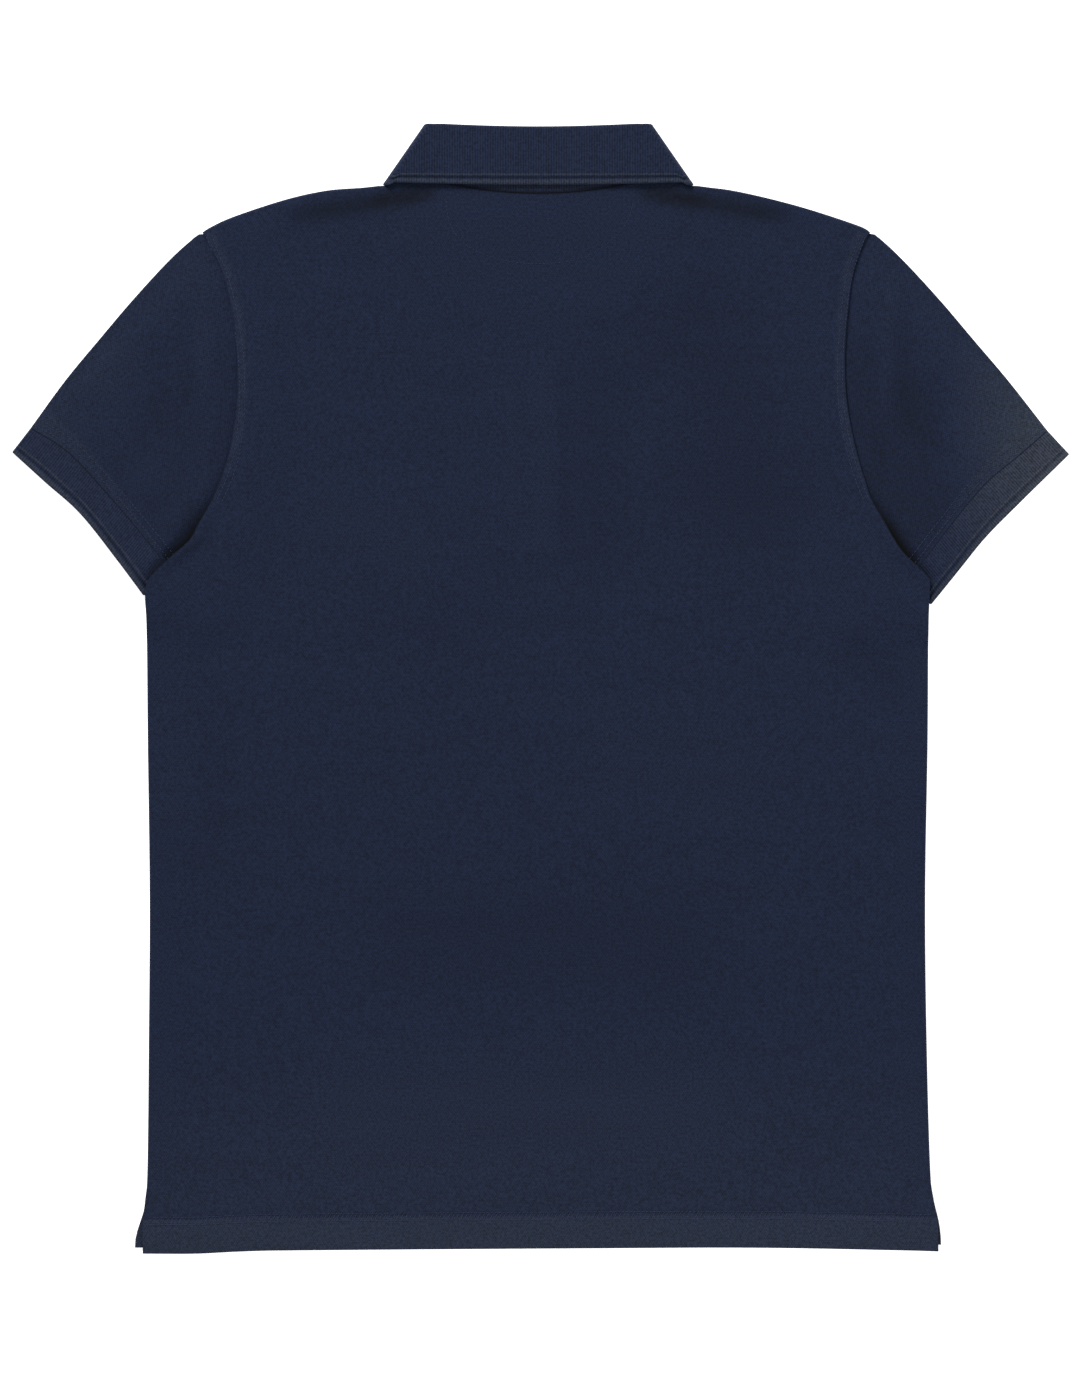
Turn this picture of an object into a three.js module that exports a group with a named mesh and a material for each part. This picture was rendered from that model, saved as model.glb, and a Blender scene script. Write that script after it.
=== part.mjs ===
// Polo shirt with a rib-knit collar, a three-button placket, short sleeves, rib cuffs and side vents.
// It lies flat and face down. +Z is up, +Y points to the collar and +X to the wearer's right sleeve.
// Each cloth piece is a thin wall: a grid of points runs through the middle of the cloth,
// and its two faces lie half the cloth's thickness to each side of that grid.
import * as THREE from 'three';

// Cloth sizes in millimetres
const CLOTH = 1.0; // pique knit of the body and sleeves
const RIB = 1.6; // flat-knitted rib of the collar and cuffs
const HEM = 1.5; // the doubled cloth of the bottom hem
const HEM_DEPTH = 22;
const SEAM_GAP = 0.35; // between two pieces that are sewn edge to edge
const LAYER_GAP = 0.5; // between two layers that lie on each other
const LAYER = CLOTH + LAYER_GAP;
const RIB_LAYER = RIB + LAYER_GAP;

// Neck and placket
const NECK_X = -1; // the shirt's centre line
const NECK_HALF = 87.5; // half the width between the two ends of the neck seam
const NECK_SIDE_Y = 350; // under the leaf
const BACK_NECK_Y = 336;
const FRONT_NECK_Y = 258;
const PLACKET = { left: -18, right: 12, bottom: 68.5 };
const BUTTON = { radius: 5.75, thickness: 1.5, rim: 1.2, dish: 0.3 };
const BUTTON_YS = [238, 174, 110];
const BUTTON_LIFT = BUTTON.thickness + 0.4; // the placket lies on its buttons

// Collar: a rib strip whose inner half stands at the neck and whose outer half, the leaf, folds down
const STAND_HALF = 1.25; // half the height of the flattened loop that the stand makes
const LEAF_HALF = 3.85; // the same for the leaf, which lies outside the stand
const COLLAR_Z = LEAF_HALF + RIB / 2; // the leaf's front lies on the surface
const FOLD_Y = { side: 383.4, middle: 381.3 };
const FOLD_HALF_WIDTH = 77.5;
const LEAF_EDGE_Y = { corner: 341.4, side: 343.2, middle: 341.5 };
const LEAF_HALF_WIDTH = 105.7;
const STAND_HALF_WIDTH = 85;
const FRONT_FOLD = { x: 5.5, y: 289.5 }; // where the fold ends at the front, from the centre line
const LEAF_POINT = { x: 47.5, y: 240 }; // the point of the collar, from the centre line
const FRONT_END = 4.5; // the collar's two ends stop this far from the centre line

// Raised ridges that run along the edge of the collar and cuffs
const RIDGES = [
  { from_edge: 1.9, half_width: 2, height: 0.5 },
  { from_edge: 6.8, half_width: 1, height: 0.4 },
];

// Lifts: a layer that lies over another rises. The full rise reaches a margin past what lies
// under it, and fades out over a length past that.
const LIFTS = {
  leaf_under_front: { rise: 2.1, margin: 16, length: 36 },
  placket_beside_front: { rise: BUTTON_LIFT, margin: 3, length: 45 },
  front_to_neck_seam: { rise: 0.8, margin: 0, length: 16 },
  placket_under_back: { rise: LAYER, margin: 10, length: 26 },
  sleeve_under_back: { rise: 2 * LAYER, margin: 9, length: 32 },
  cuff_under_back: { rise: 1.3, margin: 12, length: 26 },
  neck_under_back: { rise: 1, margin: 14, length: 50 },
};
const PLACKET_RAMP = { start: 2, length: 26 }; // the placket's lower end comes down to the surface

// Rolled edges: where front and back meet, the cloth turns over in a small round
const ROLL = 1.6; // width of the round
const ROLL_HEIGHT = 2.5; // least distance between the middles of front and back beside it
const ROLL_FADE = 28; // the back settles onto the front over this distance

// Side outline from hem to shoulder, a row for each height
const SIDE = [
  { y: -384, left: -269.6, right: 270.8 },
  { y: -363, left: -269.5, right: 270.1 },
  { y: -348, left: -268.0, right: 267.4 },
  { y: -335, left: -266.6, right: 265.5 },
  { y: -240, left: -265.5, right: 262.8 },
  { y: -144, left: -264.9, right: 261.8 },
  { y: -35, left: -266.2, right: 263.5 },
  { y: 46, left: -267.0, right: 264.0 },
  { y: 66, left: -267.8, right: 264.6 },
  { y: 74, left: -265.3, right: 264.2 },
  { y: 82, left: -258.4, right: 256.5 },
  { y: 91.5, left: -247.9, right: 246.8 },
  { y: 101, left: -237.4, right: 240.4 },
  { y: 112, left: -231.5, right: 234.3 },
  { y: 128, left: -220.8, right: 225.3 },
  { y: 153, left: -210.7, right: 216.0 },
  { y: 182, left: -206.0, right: 209.4 },
  { y: 204.5, left: -205.4, right: 207.3 },
  { y: 229.5, left: -206.6, right: 207.7 },
  { y: 251.5, left: -210.1, right: 209.6 },
  { y: 270.5, left: -214.3, right: 211.8 },
  { y: 284, left: -218.8, right: 214.7 },
  { y: 295.5, left: -223.7, right: 218.6 },
  { y: 303, left: -226.6, right: 221.4 },
  { y: 309.5, left: -229.0, right: 224.4 },
];
const UNDERARM_Y = 62;
const VENT_TOP_Y = -342;

// How far the front panel reaches past the back one at the vents, from their top to the hem
const FRONT_VENT = { left: 5.3, right: 1.9, top: -352, length: 26 };

// Shoulder line, a row for each place across the shirt
const SHOULDER = [
  { x: -229.0, y: 309.5 },
  { x: -225.0, y: 312.2 },
  { x: -213.2, y: 318.1 },
  { x: -192.0, y: 325.8 },
  { x: -173.1, y: 331.7 },
  { x: -156.7, y: 335.8 },
  { x: -140.4, y: 338.5 },
  { x: -121.0, y: 339.8 },
  { x: -108.5, y: 340.4 },
  { x: -103.5, y: 340.8 },
  { x: -98.5, y: 345.0 },
  { x: -91.5, y: 349.5 },
  { x: -88.5, y: 350.0 },
  { x: 86.5, y: 350.0 },
  { x: 89.5, y: 349.5 },
  { x: 96.5, y: 345.0 },
  { x: 101.5, y: 340.8 },
  { x: 106.5, y: 340.4 },
  { x: 117.0, y: 339.8 },
  { x: 127.5, y: 338.5 },
  { x: 141.8, y: 335.8 },
  { x: 159.5, y: 331.7 },
  { x: 182.5, y: 325.4 },
  { x: 205.0, y: 318.1 },
  { x: 220.5, y: 312.4 },
  { x: 224.4, y: 309.5 },
];

// Hem edge of the back and the front, a row for each place across the shirt
const HEM_LINE = [
  { x: -270, back: -384.0, front: -380.0 },
  { x: -233, back: -384.0, front: -379.4 },
  { x: -207, back: -382.7, front: -378.8 },
  { x: -181, back: -381.9, front: -378.6 },
  { x: 41, back: -380.3, front: -378.0 },
  { x: 150, back: -380.0, front: -377.6 },
  { x: 253, back: -381.9, front: -378.0 },
  { x: 271, back: -382.5, front: -378.0 },
];

// Sleeve edges, a row for each point. The inner end is tucked between front and back.
const SLEEVE_INNER_END = [
  { left: [-223.5, 307.2], right: [219.5, 307.4] },
  { left: [-213.2, 284.1], right: [209.3, 284.1] },
  { left: [-204.5, 251.4], right: [204.3, 251.4] },
  { left: [-200.0, 204.5], right: [201.4, 204.5] },
  { left: [-201.6, 168.5], right: [204.4, 168.5] },
  { left: [-206.4, 141.3], right: [209.5, 141.3] },
  { left: [-212.0, 117.5], right: [214.5, 117.5] },
  { left: [-219.0, 90.3], right: [219.3, 86.9] },
  { left: [-228.5, 59.7], right: [225.7, 51.5] },
];
const SLEEVE_TOP = [
  { left: [-223.5, 307.2], right: [219.5, 307.4] },
  { left: [-230.4, 307.2], right: [225.6, 307.6] },
  { left: [-238.0, 302.8], right: [233.4, 302.8] },
  { left: [-251.3, 290.9], right: [246.5, 290.9] },
  { left: [-276.4, 263.7], right: [271.7, 263.7] },
  { left: [-299.5, 236.5], right: [294.8, 236.5] },
  { left: [-322.0, 209.3], right: [317.9, 209.3] },
  { left: [-345.8, 176.6], right: [344.8, 174.9] },
];
const CUFF_SEAM = [
  { left: [-345.8, 176.6], right: [344.8, 174.9] },
  { left: [-322.0, 161.7], right: [325.2, 157.8] },
  { left: [-292.4, 130.8], right: [303.2, 139.4] },
  { left: [-265.3, 98.7], right: [277.1, 108.2] },
  { left: [-252.6, 82.8], right: [251.3, 74.6] },
];
const CUFF_EDGE = [
  { left: [-358.4, 160.3], right: [359.7, 158.9] },
  { left: [-335.6, 139.6], right: [327.1, 127.0] },
  { left: [-313.1, 119.5], right: [302.3, 101.8] },
  { left: [-287.0, 86.9], right: [285.5, 81.1] },
  { left: [-268.9, 62.7], right: [265.7, 56.7] },
];

// Colours from the cloth, with how rough it is
const NAVY_PIQUE = { color: 0x1f2639, roughness: 0.92, metalness: 0 };
const NAVY_RIB = { color: 0x262d40, roughness: 0.95, metalness: 0 };
const NAVY_BUTTON = { color: 0x1b2133, roughness: 0.35, metalness: 0 };

// Small helpers
const lerp = (a, b, t) => a + (b - a) * t;
const clamp = (t) => Math.min(Math.max(t, 0), 1);
const smooth = (t) => clamp(t) ** 2 * (3 - 2 * clamp(t));

// 1 up to a distance of start, then down to 0 over the length
const fade = (distance, start, length) => 1 - smooth((distance - start) / length);
const lift = (name, distance) => {
  const { rise, margin, length } = LIFTS[name];
  return rise * fade(distance, margin, length);
};

// A smooth curve through the rows of a table, read at a value of its key column
function tableAt(table, key, column, value) {
  const last = table.length - 1;
  let i = 0;
  while (i < last - 1 && table[i + 1][key] < value) i += 1;
  const slope = (k) => {
    const before = table[Math.max(k - 1, 0)];
    const after = table[Math.min(k + 1, last)];
    return (after[column] - before[column]) / (after[key] - before[key]);
  };
  const span = table[i + 1][key] - table[i][key];
  const t = clamp((value - table[i][key]) / span);
  const rise = table[i + 1][column] - table[i][column];
  const a = slope(i) * span - rise;
  const b = rise - slope(i + 1) * span;
  return lerp(table[i][column], table[i + 1][column], t) + t * (1 - t) * (a * (1 - t) + b * t);
}

function curveThrough(table, side) {
  const points = table.map((row) => new THREE.Vector3(row[side][0], row[side][1], 0));
  return new THREE.CatmullRomCurve3(points, false, 'centripetal');
}

// Distance from a point to a closed outline of points, 0 inside it
function distanceOutside(outline, x, y) {
  let inside = false;
  let nearest = Infinity;
  outline.forEach(([x1, y1], i) => {
    const [x2, y2] = outline[(i + 1) % outline.length];
    if ((y1 > y) !== (y2 > y) && x < x1 + ((y - y1) / (y2 - y1)) * (x2 - x1)) inside = !inside;
    const length = (x2 - x1) ** 2 + (y2 - y1) ** 2;
    const t = clamp(((x - x1) * (x2 - x1) + (y - y1) * (y2 - y1)) / length);
    nearest = Math.min(nearest, Math.hypot(x - lerp(x1, x2, t), y - lerp(y1, y2, t)));
  });
  return inside ? 0 : nearest;
}

// A wall through a grid of middle points, each { at, half, raise, facing }.
// raise adds to its outer face, and facing replaces the direction worked out from the neighbours.
function wall(grid, { ring = false, outer = 1, skip = () => false } = {}) {
  const rows = grid.length;
  const columns = grid[0].length;
  const at = (i, j) => grid[i][(j + columns) % columns].at;
  const faces = [[], []];
  for (let i = 0; i < rows; i += 1) {
    for (let j = 0; j < columns; j += 1) {
      const before = ring ? j - 1 : Math.max(j - 1, 0);
      const after = ring ? j + 1 : Math.min(j + 1, columns - 1);
      const across = at(i, after).clone().sub(at(i, before));
      const along = at(Math.min(i + 1, rows - 1), j).clone().sub(at(Math.max(i - 1, 0), j));
      const point = grid[i][j];
      const facing = point.facing ?? across.cross(along).normalize();
      const raise = point.raise ?? 0;
      const up = point.half + (outer > 0 ? raise : 0);
      const down = point.half + (outer < 0 ? raise : 0);
      faces[0].push(point.at.clone().addScaledVector(facing, up));
      faces[1].push(point.at.clone().addScaledVector(facing, -down));
    }
  }
  const cells = ring ? columns : columns - 1;
  const kept = (i, j) => i >= 0 && i < rows - 1 && (ring || (j >= 0 && j < cells))
    && !skip(i, (j + cells) % cells);
  const positions = [];
  const place = (face, i, j) => {
    const v = faces[face][i * columns + ((j + columns) % columns)];
    positions.push(v.x, v.y, v.z);
  };
  const quad = (a, b, c, d) => [a, b, c, a, c, d].forEach(([face, i, j]) => place(face, i, j));
  for (let i = 0; i < rows - 1; i += 1) {
    for (let j = 0; j < cells; j += 1) {
      if (!kept(i, j)) continue;
      quad([0, i, j], [0, i, j + 1], [0, i + 1, j + 1], [0, i + 1, j]);
      quad([1, i, j], [1, i + 1, j], [1, i + 1, j + 1], [1, i, j + 1]);
      if (!kept(i - 1, j)) quad([1, i, j], [1, i, j + 1], [0, i, j + 1], [0, i, j]);
      if (!kept(i + 1, j)) quad([0, i + 1, j], [0, i + 1, j + 1], [1, i + 1, j + 1], [1, i + 1, j]);
      if (!kept(i, j - 1)) quad([0, i, j], [0, i + 1, j], [1, i + 1, j], [1, i, j]);
      if (!kept(i, j + 1)) quad([1, i, j + 1], [1, i + 1, j + 1], [0, i + 1, j + 1], [0, i, j + 1]);
    }
  }
  const geometry = new THREE.BufferGeometry();
  geometry.setAttribute('position', new THREE.Float32BufferAttribute(positions, 3));
  geometry.computeVertexNormals();
  return geometry;
}

function mesh(name, geometry, look) {
  const piece = new THREE.Mesh(geometry, new THREE.MeshStandardMaterial(look));
  piece.name = name;
  return piece;
}

// The ridges' height at a distance from the rib's edge
function ridgeHeight(distance) {
  return RIDGES.reduce((most, ridge) => {
    const off = Math.abs(distance - ridge.from_edge) / ridge.half_width;
    return Math.max(most, ridge.height * (1 - smooth(off)));
  }, 0);
}

// Outlines seen from above
const sideX = (y, side) => tableAt(SIDE, 'y', side, y);
const shoulderY = (x) => tableAt(SHOULDER, 'x', 'y', x);
const fromNeckCentre = (x) => Math.abs(x - NECK_X) / NECK_HALF;

function backTopY(x) {
  const s = fromNeckCentre(x);
  if (s >= 1) return shoulderY(x);
  return lerp(BACK_NECK_Y, NECK_SIDE_Y, s ** 2.1);
}

function frontTopY(x) {
  const s = fromNeckCentre(x);
  if (s >= 1) return shoulderY(x);
  return lerp(FRONT_NECK_Y, NECK_SIDE_Y, s ** 2.2);
}

// Where one layer lifts another
const neckX = (offset) => NECK_X + offset;
const LEAF_SHAPES = [-1, 1].map((s) => [
  [neckX(s * FOLD_HALF_WIDTH), FOLD_Y.side],
  [neckX(s * FRONT_FOLD.x), FRONT_FOLD.y],
  [neckX(s * LEAF_POINT.x), LEAF_POINT.y],
  [neckX(s * LEAF_HALF_WIDTH), LEAF_EDGE_Y.corner],
]);
const NECK_SHAPE = [
  [neckX(-NECK_HALF), NECK_SIDE_Y],
  [neckX(-NECK_HALF * 0.5), lerp(FRONT_NECK_Y, NECK_SIDE_Y, 0.22)],
  [neckX(0), FRONT_NECK_Y],
  [neckX(NECK_HALF * 0.5), lerp(FRONT_NECK_Y, NECK_SIDE_Y, 0.22)],
  [neckX(NECK_HALF), NECK_SIDE_Y],
];
const PLACKET_SHAPE = [
  [PLACKET.left, PLACKET.bottom],
  [PLACKET.right, PLACKET.bottom],
  [PLACKET.right, FRONT_NECK_Y],
  [PLACKET.left, FRONT_NECK_Y],
];
const sleeveShape = (side) => [
  ...SLEEVE_INNER_END.map((row) => row[side]),
  ...CUFF_SEAM.slice().reverse().map((row) => row[side]),
  ...SLEEVE_TOP.slice(1, -1).reverse().map((row) => row[side]),
];
const SLEEVE_SHAPES = { left: sleeveShape('left'), right: sleeveShape('right') };
const cuffShape = (side) => [
  CUFF_SEAM.at(-1)[side],
  CUFF_EDGE.at(-1)[side],
  CUFF_EDGE.at(-2)[side],
  CUFF_SEAM.at(-2)[side],
];
const CUFF_SHAPES = { left: cuffShape('left'), right: cuffShape('right') };
const sideOf = (x) => (x < NECK_X ? 'left' : 'right');

// The buttons hold the placket up, and it comes down to the surface below the last one
const placketLift = (y) => {
  const above = y - PLACKET.bottom - PLACKET_RAMP.start;
  return BUTTON_LIFT * smooth(above / PLACKET_RAMP.length);
};

// Middle of the front panel's cloth above the surface
function frontLevel(x, y) {
  const leaf = Math.min(...LEAF_SHAPES.map((shape) => distanceOutside(shape, x, y)));
  const overLeaf = lift('leaf_under_front', leaf);
  const onButtons = placketLift(y) / BUTTON_LIFT;
  const besidePlacket = onButtons * lift('placket_beside_front', distanceOutside(PLACKET_SHAPE, x, y));
  const insideNeck = fade(fromNeckCentre(x), 0.95, 0.3);
  const toNeckSeam = insideNeck * lift('front_to_neck_seam', frontTopY(x) - y);
  return CLOTH / 2 + Math.max(overLeaf, besidePlacket) + toNeckSeam;
}

// Middle of the back panel's cloth
function backLevel(x, y) {
  const onFront = frontLevel(x, y) + LAYER;
  const overPlacket = lift('placket_under_back', distanceOutside(PLACKET_SHAPE, x, y));
  const side = sideOf(x);
  const fromCuff = distanceOutside(CUFF_SHAPES[side], x, y);
  const fromSleeve = Math.min(distanceOutside(SLEEVE_SHAPES[side], x, y), fromCuff);
  const overSleeve = lift('sleeve_under_back', fromSleeve);
  const overCuff = lift('cuff_under_back', fromCuff);
  const stacked = onFront + overPlacket + overSleeve + overCuff;
  const atNeck = COLLAR_Z + STAND_HALF;
  const nearNeck = lift('neck_under_back', distanceOutside(NECK_SHAPE, x, y));
  const neck = lerp(CLOTH / 2 + LAYER, atNeck, nearNeck);
  return Math.max(stacked, neck);
}

// How much the side edge is rolled: not at the vents or at the armholes
const SIDE_ROLL = { vent_length: 16, underarm_start: 34, underarm_length: 20 };
const sideRoll = (y) => {
  const fromVent = smooth((y - VENT_TOP_Y) / SIDE_ROLL.vent_length);
  const toUnderarm = smooth((y - UNDERARM_Y + SIDE_ROLL.underarm_start) / SIDE_ROLL.underarm_length);
  return fromVent * (1 - toUnderarm);
};

// Distances from a rolled edge: the rim, the round's middle and its end, then the settling cloth
const EDGE_STEPS = [
  { turn: 0, flat: 0 },
  { turn: Math.PI / 4, flat: 0.9 },
  { turn: Math.PI / 2, flat: CLOTH / 2 + ROLL },
];
const SETTLE_STEPS = [9, 18, 30];
const SIDE_STEPS = [...SETTLE_STEPS, 44];

const inset = (step, roll) => lerp(step.flat, CLOTH / 2 + ROLL * (1 - Math.cos(step.turn)), roll);

// Level of a point near an edge. face is 1 for the back panel and -1 for the front one.
function edgeLevel(x, y, face, distance, turn, roll) {
  const front = frontLevel(x, y);
  const back = backLevel(x, y);
  const crest = Math.max(back, front + ROLL_HEIGHT);
  const centre = (front + crest) / 2;
  const rolled = face > 0
    ? lerp(back, crest, fade(distance, CLOTH / 2 + ROLL, ROLL_FADE))
    : front;
  const flat = face > 0 ? back : front;
  const far = face > 0 ? crest : front;
  const near = centre + (face * SEAM_GAP) / 2;
  const onRound = turn === null ? rolled : near + (far - near) * Math.sin(turn);
  return lerp(flat, onRound, roll);
}

// One body panel. Its columns keep their distance from the side, and its top rows from the shoulder.
function bodyPanel(face, innerColumns, sideHeights) {
  const hemColumn = face > 0 ? 'back' : 'front';
  const hemY = (x) => tableAt(HEM_LINE, 'x', hemColumn, x);
  const topY = face > 0 ? backTopY : frontTopY;
  const settled = SETTLE_STEPS.at(-1);
  const tipY = SHOULDER[0].y - settled;
  const hem0 = hemY(SIDE[0].left);
  const sideSteps = [...EDGE_STEPS, ...SIDE_STEPS.map((flat) => ({ turn: null, flat }))];
  const topSteps = [...EDGE_STEPS, ...SETTLE_STEPS.map((flat) => ({ turn: null, flat }))];
  const rows = [
    ...HEM_ROWS.map((above) => ({ share: above / (tipY - hem0) })),
    ...sideHeights.map((y) => ({ share: (y - hem0) / (tipY - hem0) })),
    { share: 1 },
    ...topSteps.slice(0, -1).reverse().map((step) => ({ step })),
  ];
  const columns = [
    ...sideSteps.map((step) => ({ side: 'left', step })),
    { between: 'left' },
    ...innerColumns.map((x) => ({ x })),
    { between: 'right' },
    ...sideSteps.slice().reverse().map((step) => ({ side: 'right', step })),
  ];
  const outlineX = (y, side) => {
    const share = smooth((FRONT_VENT.top - y) / FRONT_VENT.length);
    const past = face < 0 ? FRONT_VENT[side] * share : 0;
    return sideX(y, side) + (side === 'left' ? -past : past);
  };
  const sideY = (row) => (row.step
    ? SHOULDER[0].y - inset(row.step, 1)
    : lerp(hem0, tipY, row.share));

  const columnX = (column, row) => {
    const y = sideY(row);
    if (column.x !== undefined) return column.x;
    const side = column.side ?? column.between;
    const inward = side === 'left' ? 1 : -1;
    const edge = outlineX(y, side);
    if (column.side) {
      const roll = column.step.turn === null ? 0 : sideRoll(y);
      return edge + inward * inset(column.step, roll);
    }
    const inner = side === 'left' ? innerColumns[0] : innerColumns.at(-1);
    return (edge + inward * SIDE_STEPS.at(-1) + inner) / 2;
  };

  return rows.map((row) => columns.map((column) => {
    const x = columnX(column, row);
    const top = topY(x);
    const seam = fromNeckCentre(x) < 1;
    const topRoll = seam ? 0 : 1;
    const turnTop = row.step ? row.step.turn : null;
    const step = row.step ?? topSteps.at(-1);
    const fromTop = turnTop === null ? step.flat : inset(step, topRoll);
    const y = row.step ? top - fromTop : lerp(hemY(x), top - settled, row.share);
    const rollSide = sideRoll(sideY(row));
    let z;
    let facing;
    if (row.step) {
      z = edgeLevel(x, y, face, fromTop, turnTop, topRoll);
      if (turnTop === 0 && topRoll) facing = new THREE.Vector3(0, face, 0);
    } else {
      const distance = column.side ? column.step.flat : ROLL_FADE + 2;
      const turn = column.side ? column.step.turn : null;
      z = edgeLevel(x, y, face, distance, turn, column.side ? rollSide : 0);
      if (turn === 0 && rollSide > 0) {
        const out = column.side === 'left' ? -1 : 1;
        facing = new THREE.Vector3(out * rollSide * face, 0, 1 - rollSide).normalize();
      }
    }
    const hemShare = fade(y - hemY(x), HEM_DEPTH, 1);
    const thickness = lerp(CLOTH, HEM, hemShare);
    z += ((thickness - CLOTH) / 2) * (face > 0 ? 3 : 1);
    return { at: new THREE.Vector3(x, y, z), half: thickness / 2, facing };
  }));
}

// Columns across the middle of a panel: closer together at the collar, where the layers rise
const COLLAR_COLUMNS = [
  -103.5, -98.5, -91.5, -87.5, -74, -58, -42, -30, PLACKET.left,
  PLACKET.right, 28, 40, 56, 72, 85.5, 89.5, 96.5, 101.5,
];
const HEM_ROWS = [0, HEM_DEPTH, HEM_DEPTH + 1]; // above the hem edge
const BODY_ROWS = [VENT_TOP_Y, -325, -240, -120, -20, 28, 46, 62, 70, 78, 90, 101, 112, 128];
const CHEST_ROWS = [144, 161, 178, 195, 212, 229, 246, 264];
const PANEL_ROWS = [...BODY_ROWS, ...CHEST_ROWS];

function backPanel() {
  return mesh('back_panel', wall(bodyPanel(1, COLLAR_COLUMNS, PANEL_ROWS)), NAVY_PIQUE);
}

// The front is slit for the placket, from the neck down
function frontPanel() {
  const length = SHOULDER[0].y - SIDE[0].y;
  const dip = SHOULDER[0].y - FRONT_NECK_Y;
  const slitRow = PLACKET.bottom + (dip * (PLACKET.bottom - SIDE[0].y)) / length;
  const clear = PANEL_ROWS.filter((y) => Math.abs(y - slitRow) > 7);
  const rows = [...clear, slitRow].sort((a, b) => a - b);
  const grid = bodyPanel(-1, COLLAR_COLUMNS, rows);
  const slit = (i, j) => {
    const x = (grid[i][j].at.x + grid[i][j + 1].at.x) / 2;
    return x > PLACKET.left && x < PLACKET.right && i >= HEM_ROWS.length + rows.indexOf(slitRow);
  };
  return mesh('front_panel', wall(grid, { outer: -1, skip: slit }), NAVY_PIQUE);
}

// One half of the placket: a folded strip as wide as the slit
function placketStrip(name, layer) {
  const left = PLACKET.left + SEAM_GAP;
  const right = PLACKET.right - SEAM_GAP;
  const bottom = PLACKET.bottom + 2 * SEAM_GAP;
  const top = FRONT_NECK_Y - SEAM_GAP;
  const rowYs = [bottom, 74, 80, 86, 92, 98, 120, 160, 200, 230, top];
  const columnXs = [left, lerp(left, right, 1 / 3), lerp(left, right, 2 / 3), right];
  const grid = rowYs.map((y) => columnXs.map((x) => ({
    at: new THREE.Vector3(x, y, CLOTH / 2 + placketLift(y) + layer * LAYER),
    half: CLOTH / 2,
  })));
  return mesh(name, wall(grid), NAVY_PIQUE);
}

// A flattened tube between two folds, one row for each section.
// place(s, c) gives the point seen from above, and levels(x, y, s) the middles of its two layers.
function flatTube(sections, shares, half, place, levels, raiseAt) {
  const round = [Math.PI / 4, Math.PI / 2, (3 * Math.PI) / 4];
  return sections.map((s) => {
    const foldPoints = (end, from, to) => {
      const edge = place(s, end);
      const inward = place(s, Math.abs(end - 0.08)).sub(edge).normalize();
      const level = levels(edge.x, edge.y, s);
      const radius = (level.upper - level.lower) / 2;
      const centre = edge.clone().addScaledVector(inward, radius + half);
      return round.map((turn) => {
        const angle = lerp(from, to, turn / Math.PI);
        const point = centre.clone().addScaledVector(inward, -radius * Math.cos(angle));
        return point.setZ(level.lower + radius + radius * Math.sin(angle));
      });
    };
    const layerPoint = (c, which) => {
      const level0 = levels(place(s, c).x, place(s, c).y, s);
      const edge = place(s, Math.round(c));
      const inward = place(s, Math.abs(Math.round(c) - 0.08)).sub(edge).normalize();
      const radius = (level0.upper - level0.lower) / 2;
      const atFold = c === 0 || c === 1;
      const point = atFold ? edge.addScaledVector(inward, radius + half) : place(s, c);
      return point.setZ(level0[which]);
    };
    const ring = [
      ...shares.map((c) => layerPoint(c, 'upper')),
      ...foldPoints(1, Math.PI / 2, -Math.PI / 2),
      ...shares.slice().reverse().map((c) => layerPoint(c, 'lower')),
      ...foldPoints(0, -Math.PI / 2, Math.PI / 2),
    ];
    const middle = (p) => (levels(p.x, p.y, s).upper + levels(p.x, p.y, s).lower) / 2;
    return ring.map((at) => ({ at, half, raise: at.z > middle(at) ? raiseAt(s) : 0 }));
  });
}

// A patch between four edges, seen from above
function patch(inner, outer, top, bottom) {
  const corner = (curve, end) => curve.getPointAt(end);
  return (s, c) => {
    const point = inner.getPointAt(c).multiplyScalar(1 - s);
    point.addScaledVector(outer.getPointAt(c), s);
    point.addScaledVector(top(s), 1 - c);
    point.addScaledVector(bottom(s), c);
    point.addScaledVector(corner(inner, 0), -(1 - s) * (1 - c));
    point.addScaledVector(corner(outer, 0), -s * (1 - c));
    point.addScaledVector(corner(inner, 1), -(1 - s) * c);
    point.addScaledVector(corner(outer, 1), -s * c);
    return point;
  };
}

const straight = (from, to) => (s) => from.clone().lerp(to, s);

// A sleeve lies on the front panel inside the body's outline, and comes down past it: 1 to 0
const OFF_BODY = { margin: 12, length: 22 };
function onBody(x, y, side) {
  const outside = side === 'left' ? sideX(y, side) - x : x - sideX(y, side);
  return fade(outside, OFF_BODY.margin, OFF_BODY.length);
}

function tubeLevels(side, rise) {
  return (x, y, s) => {
    const stiff = rise(s);
    const lower = lerp(CLOTH, RIB, stiff) / 2 + LAYER * onBody(x, y, side);
    return { lower, upper: lower + lerp(LAYER, RIB_LAYER, stiff) };
  };
}

const evenly = (count) => Array.from({ length: count + 1 }, (_, i) => i / count);
const outerSide = (side) => (side === 'left' ? -1 : 1);

function sleeve(side) {
  const inner = curveThrough(SLEEVE_INNER_END, side);
  const cuffSeam = curveThrough(CUFF_SEAM, side);
  const top = curveThrough(SLEEVE_TOP, side);
  const bottom = straight(inner.getPointAt(1), cuffSeam.getPointAt(1));
  const place = patch(inner, cuffSeam, (s) => top.getPointAt(s), bottom);
  const sections = [0, 0.07, 0.16, 0.28, 0.42, 0.6, 0.78, 0.9, 1];
  const levels = tubeLevels(side, (s) => smooth((s - 0.78) / 0.22));
  const grid = flatTube(sections, evenly(12), CLOTH / 2, place, levels, () => 0);
  const geometry = wall(grid, { ring: true, outer: outerSide(side) });
  return mesh(`sleeve_${side}`, geometry, NAVY_PIQUE);
}

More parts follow.
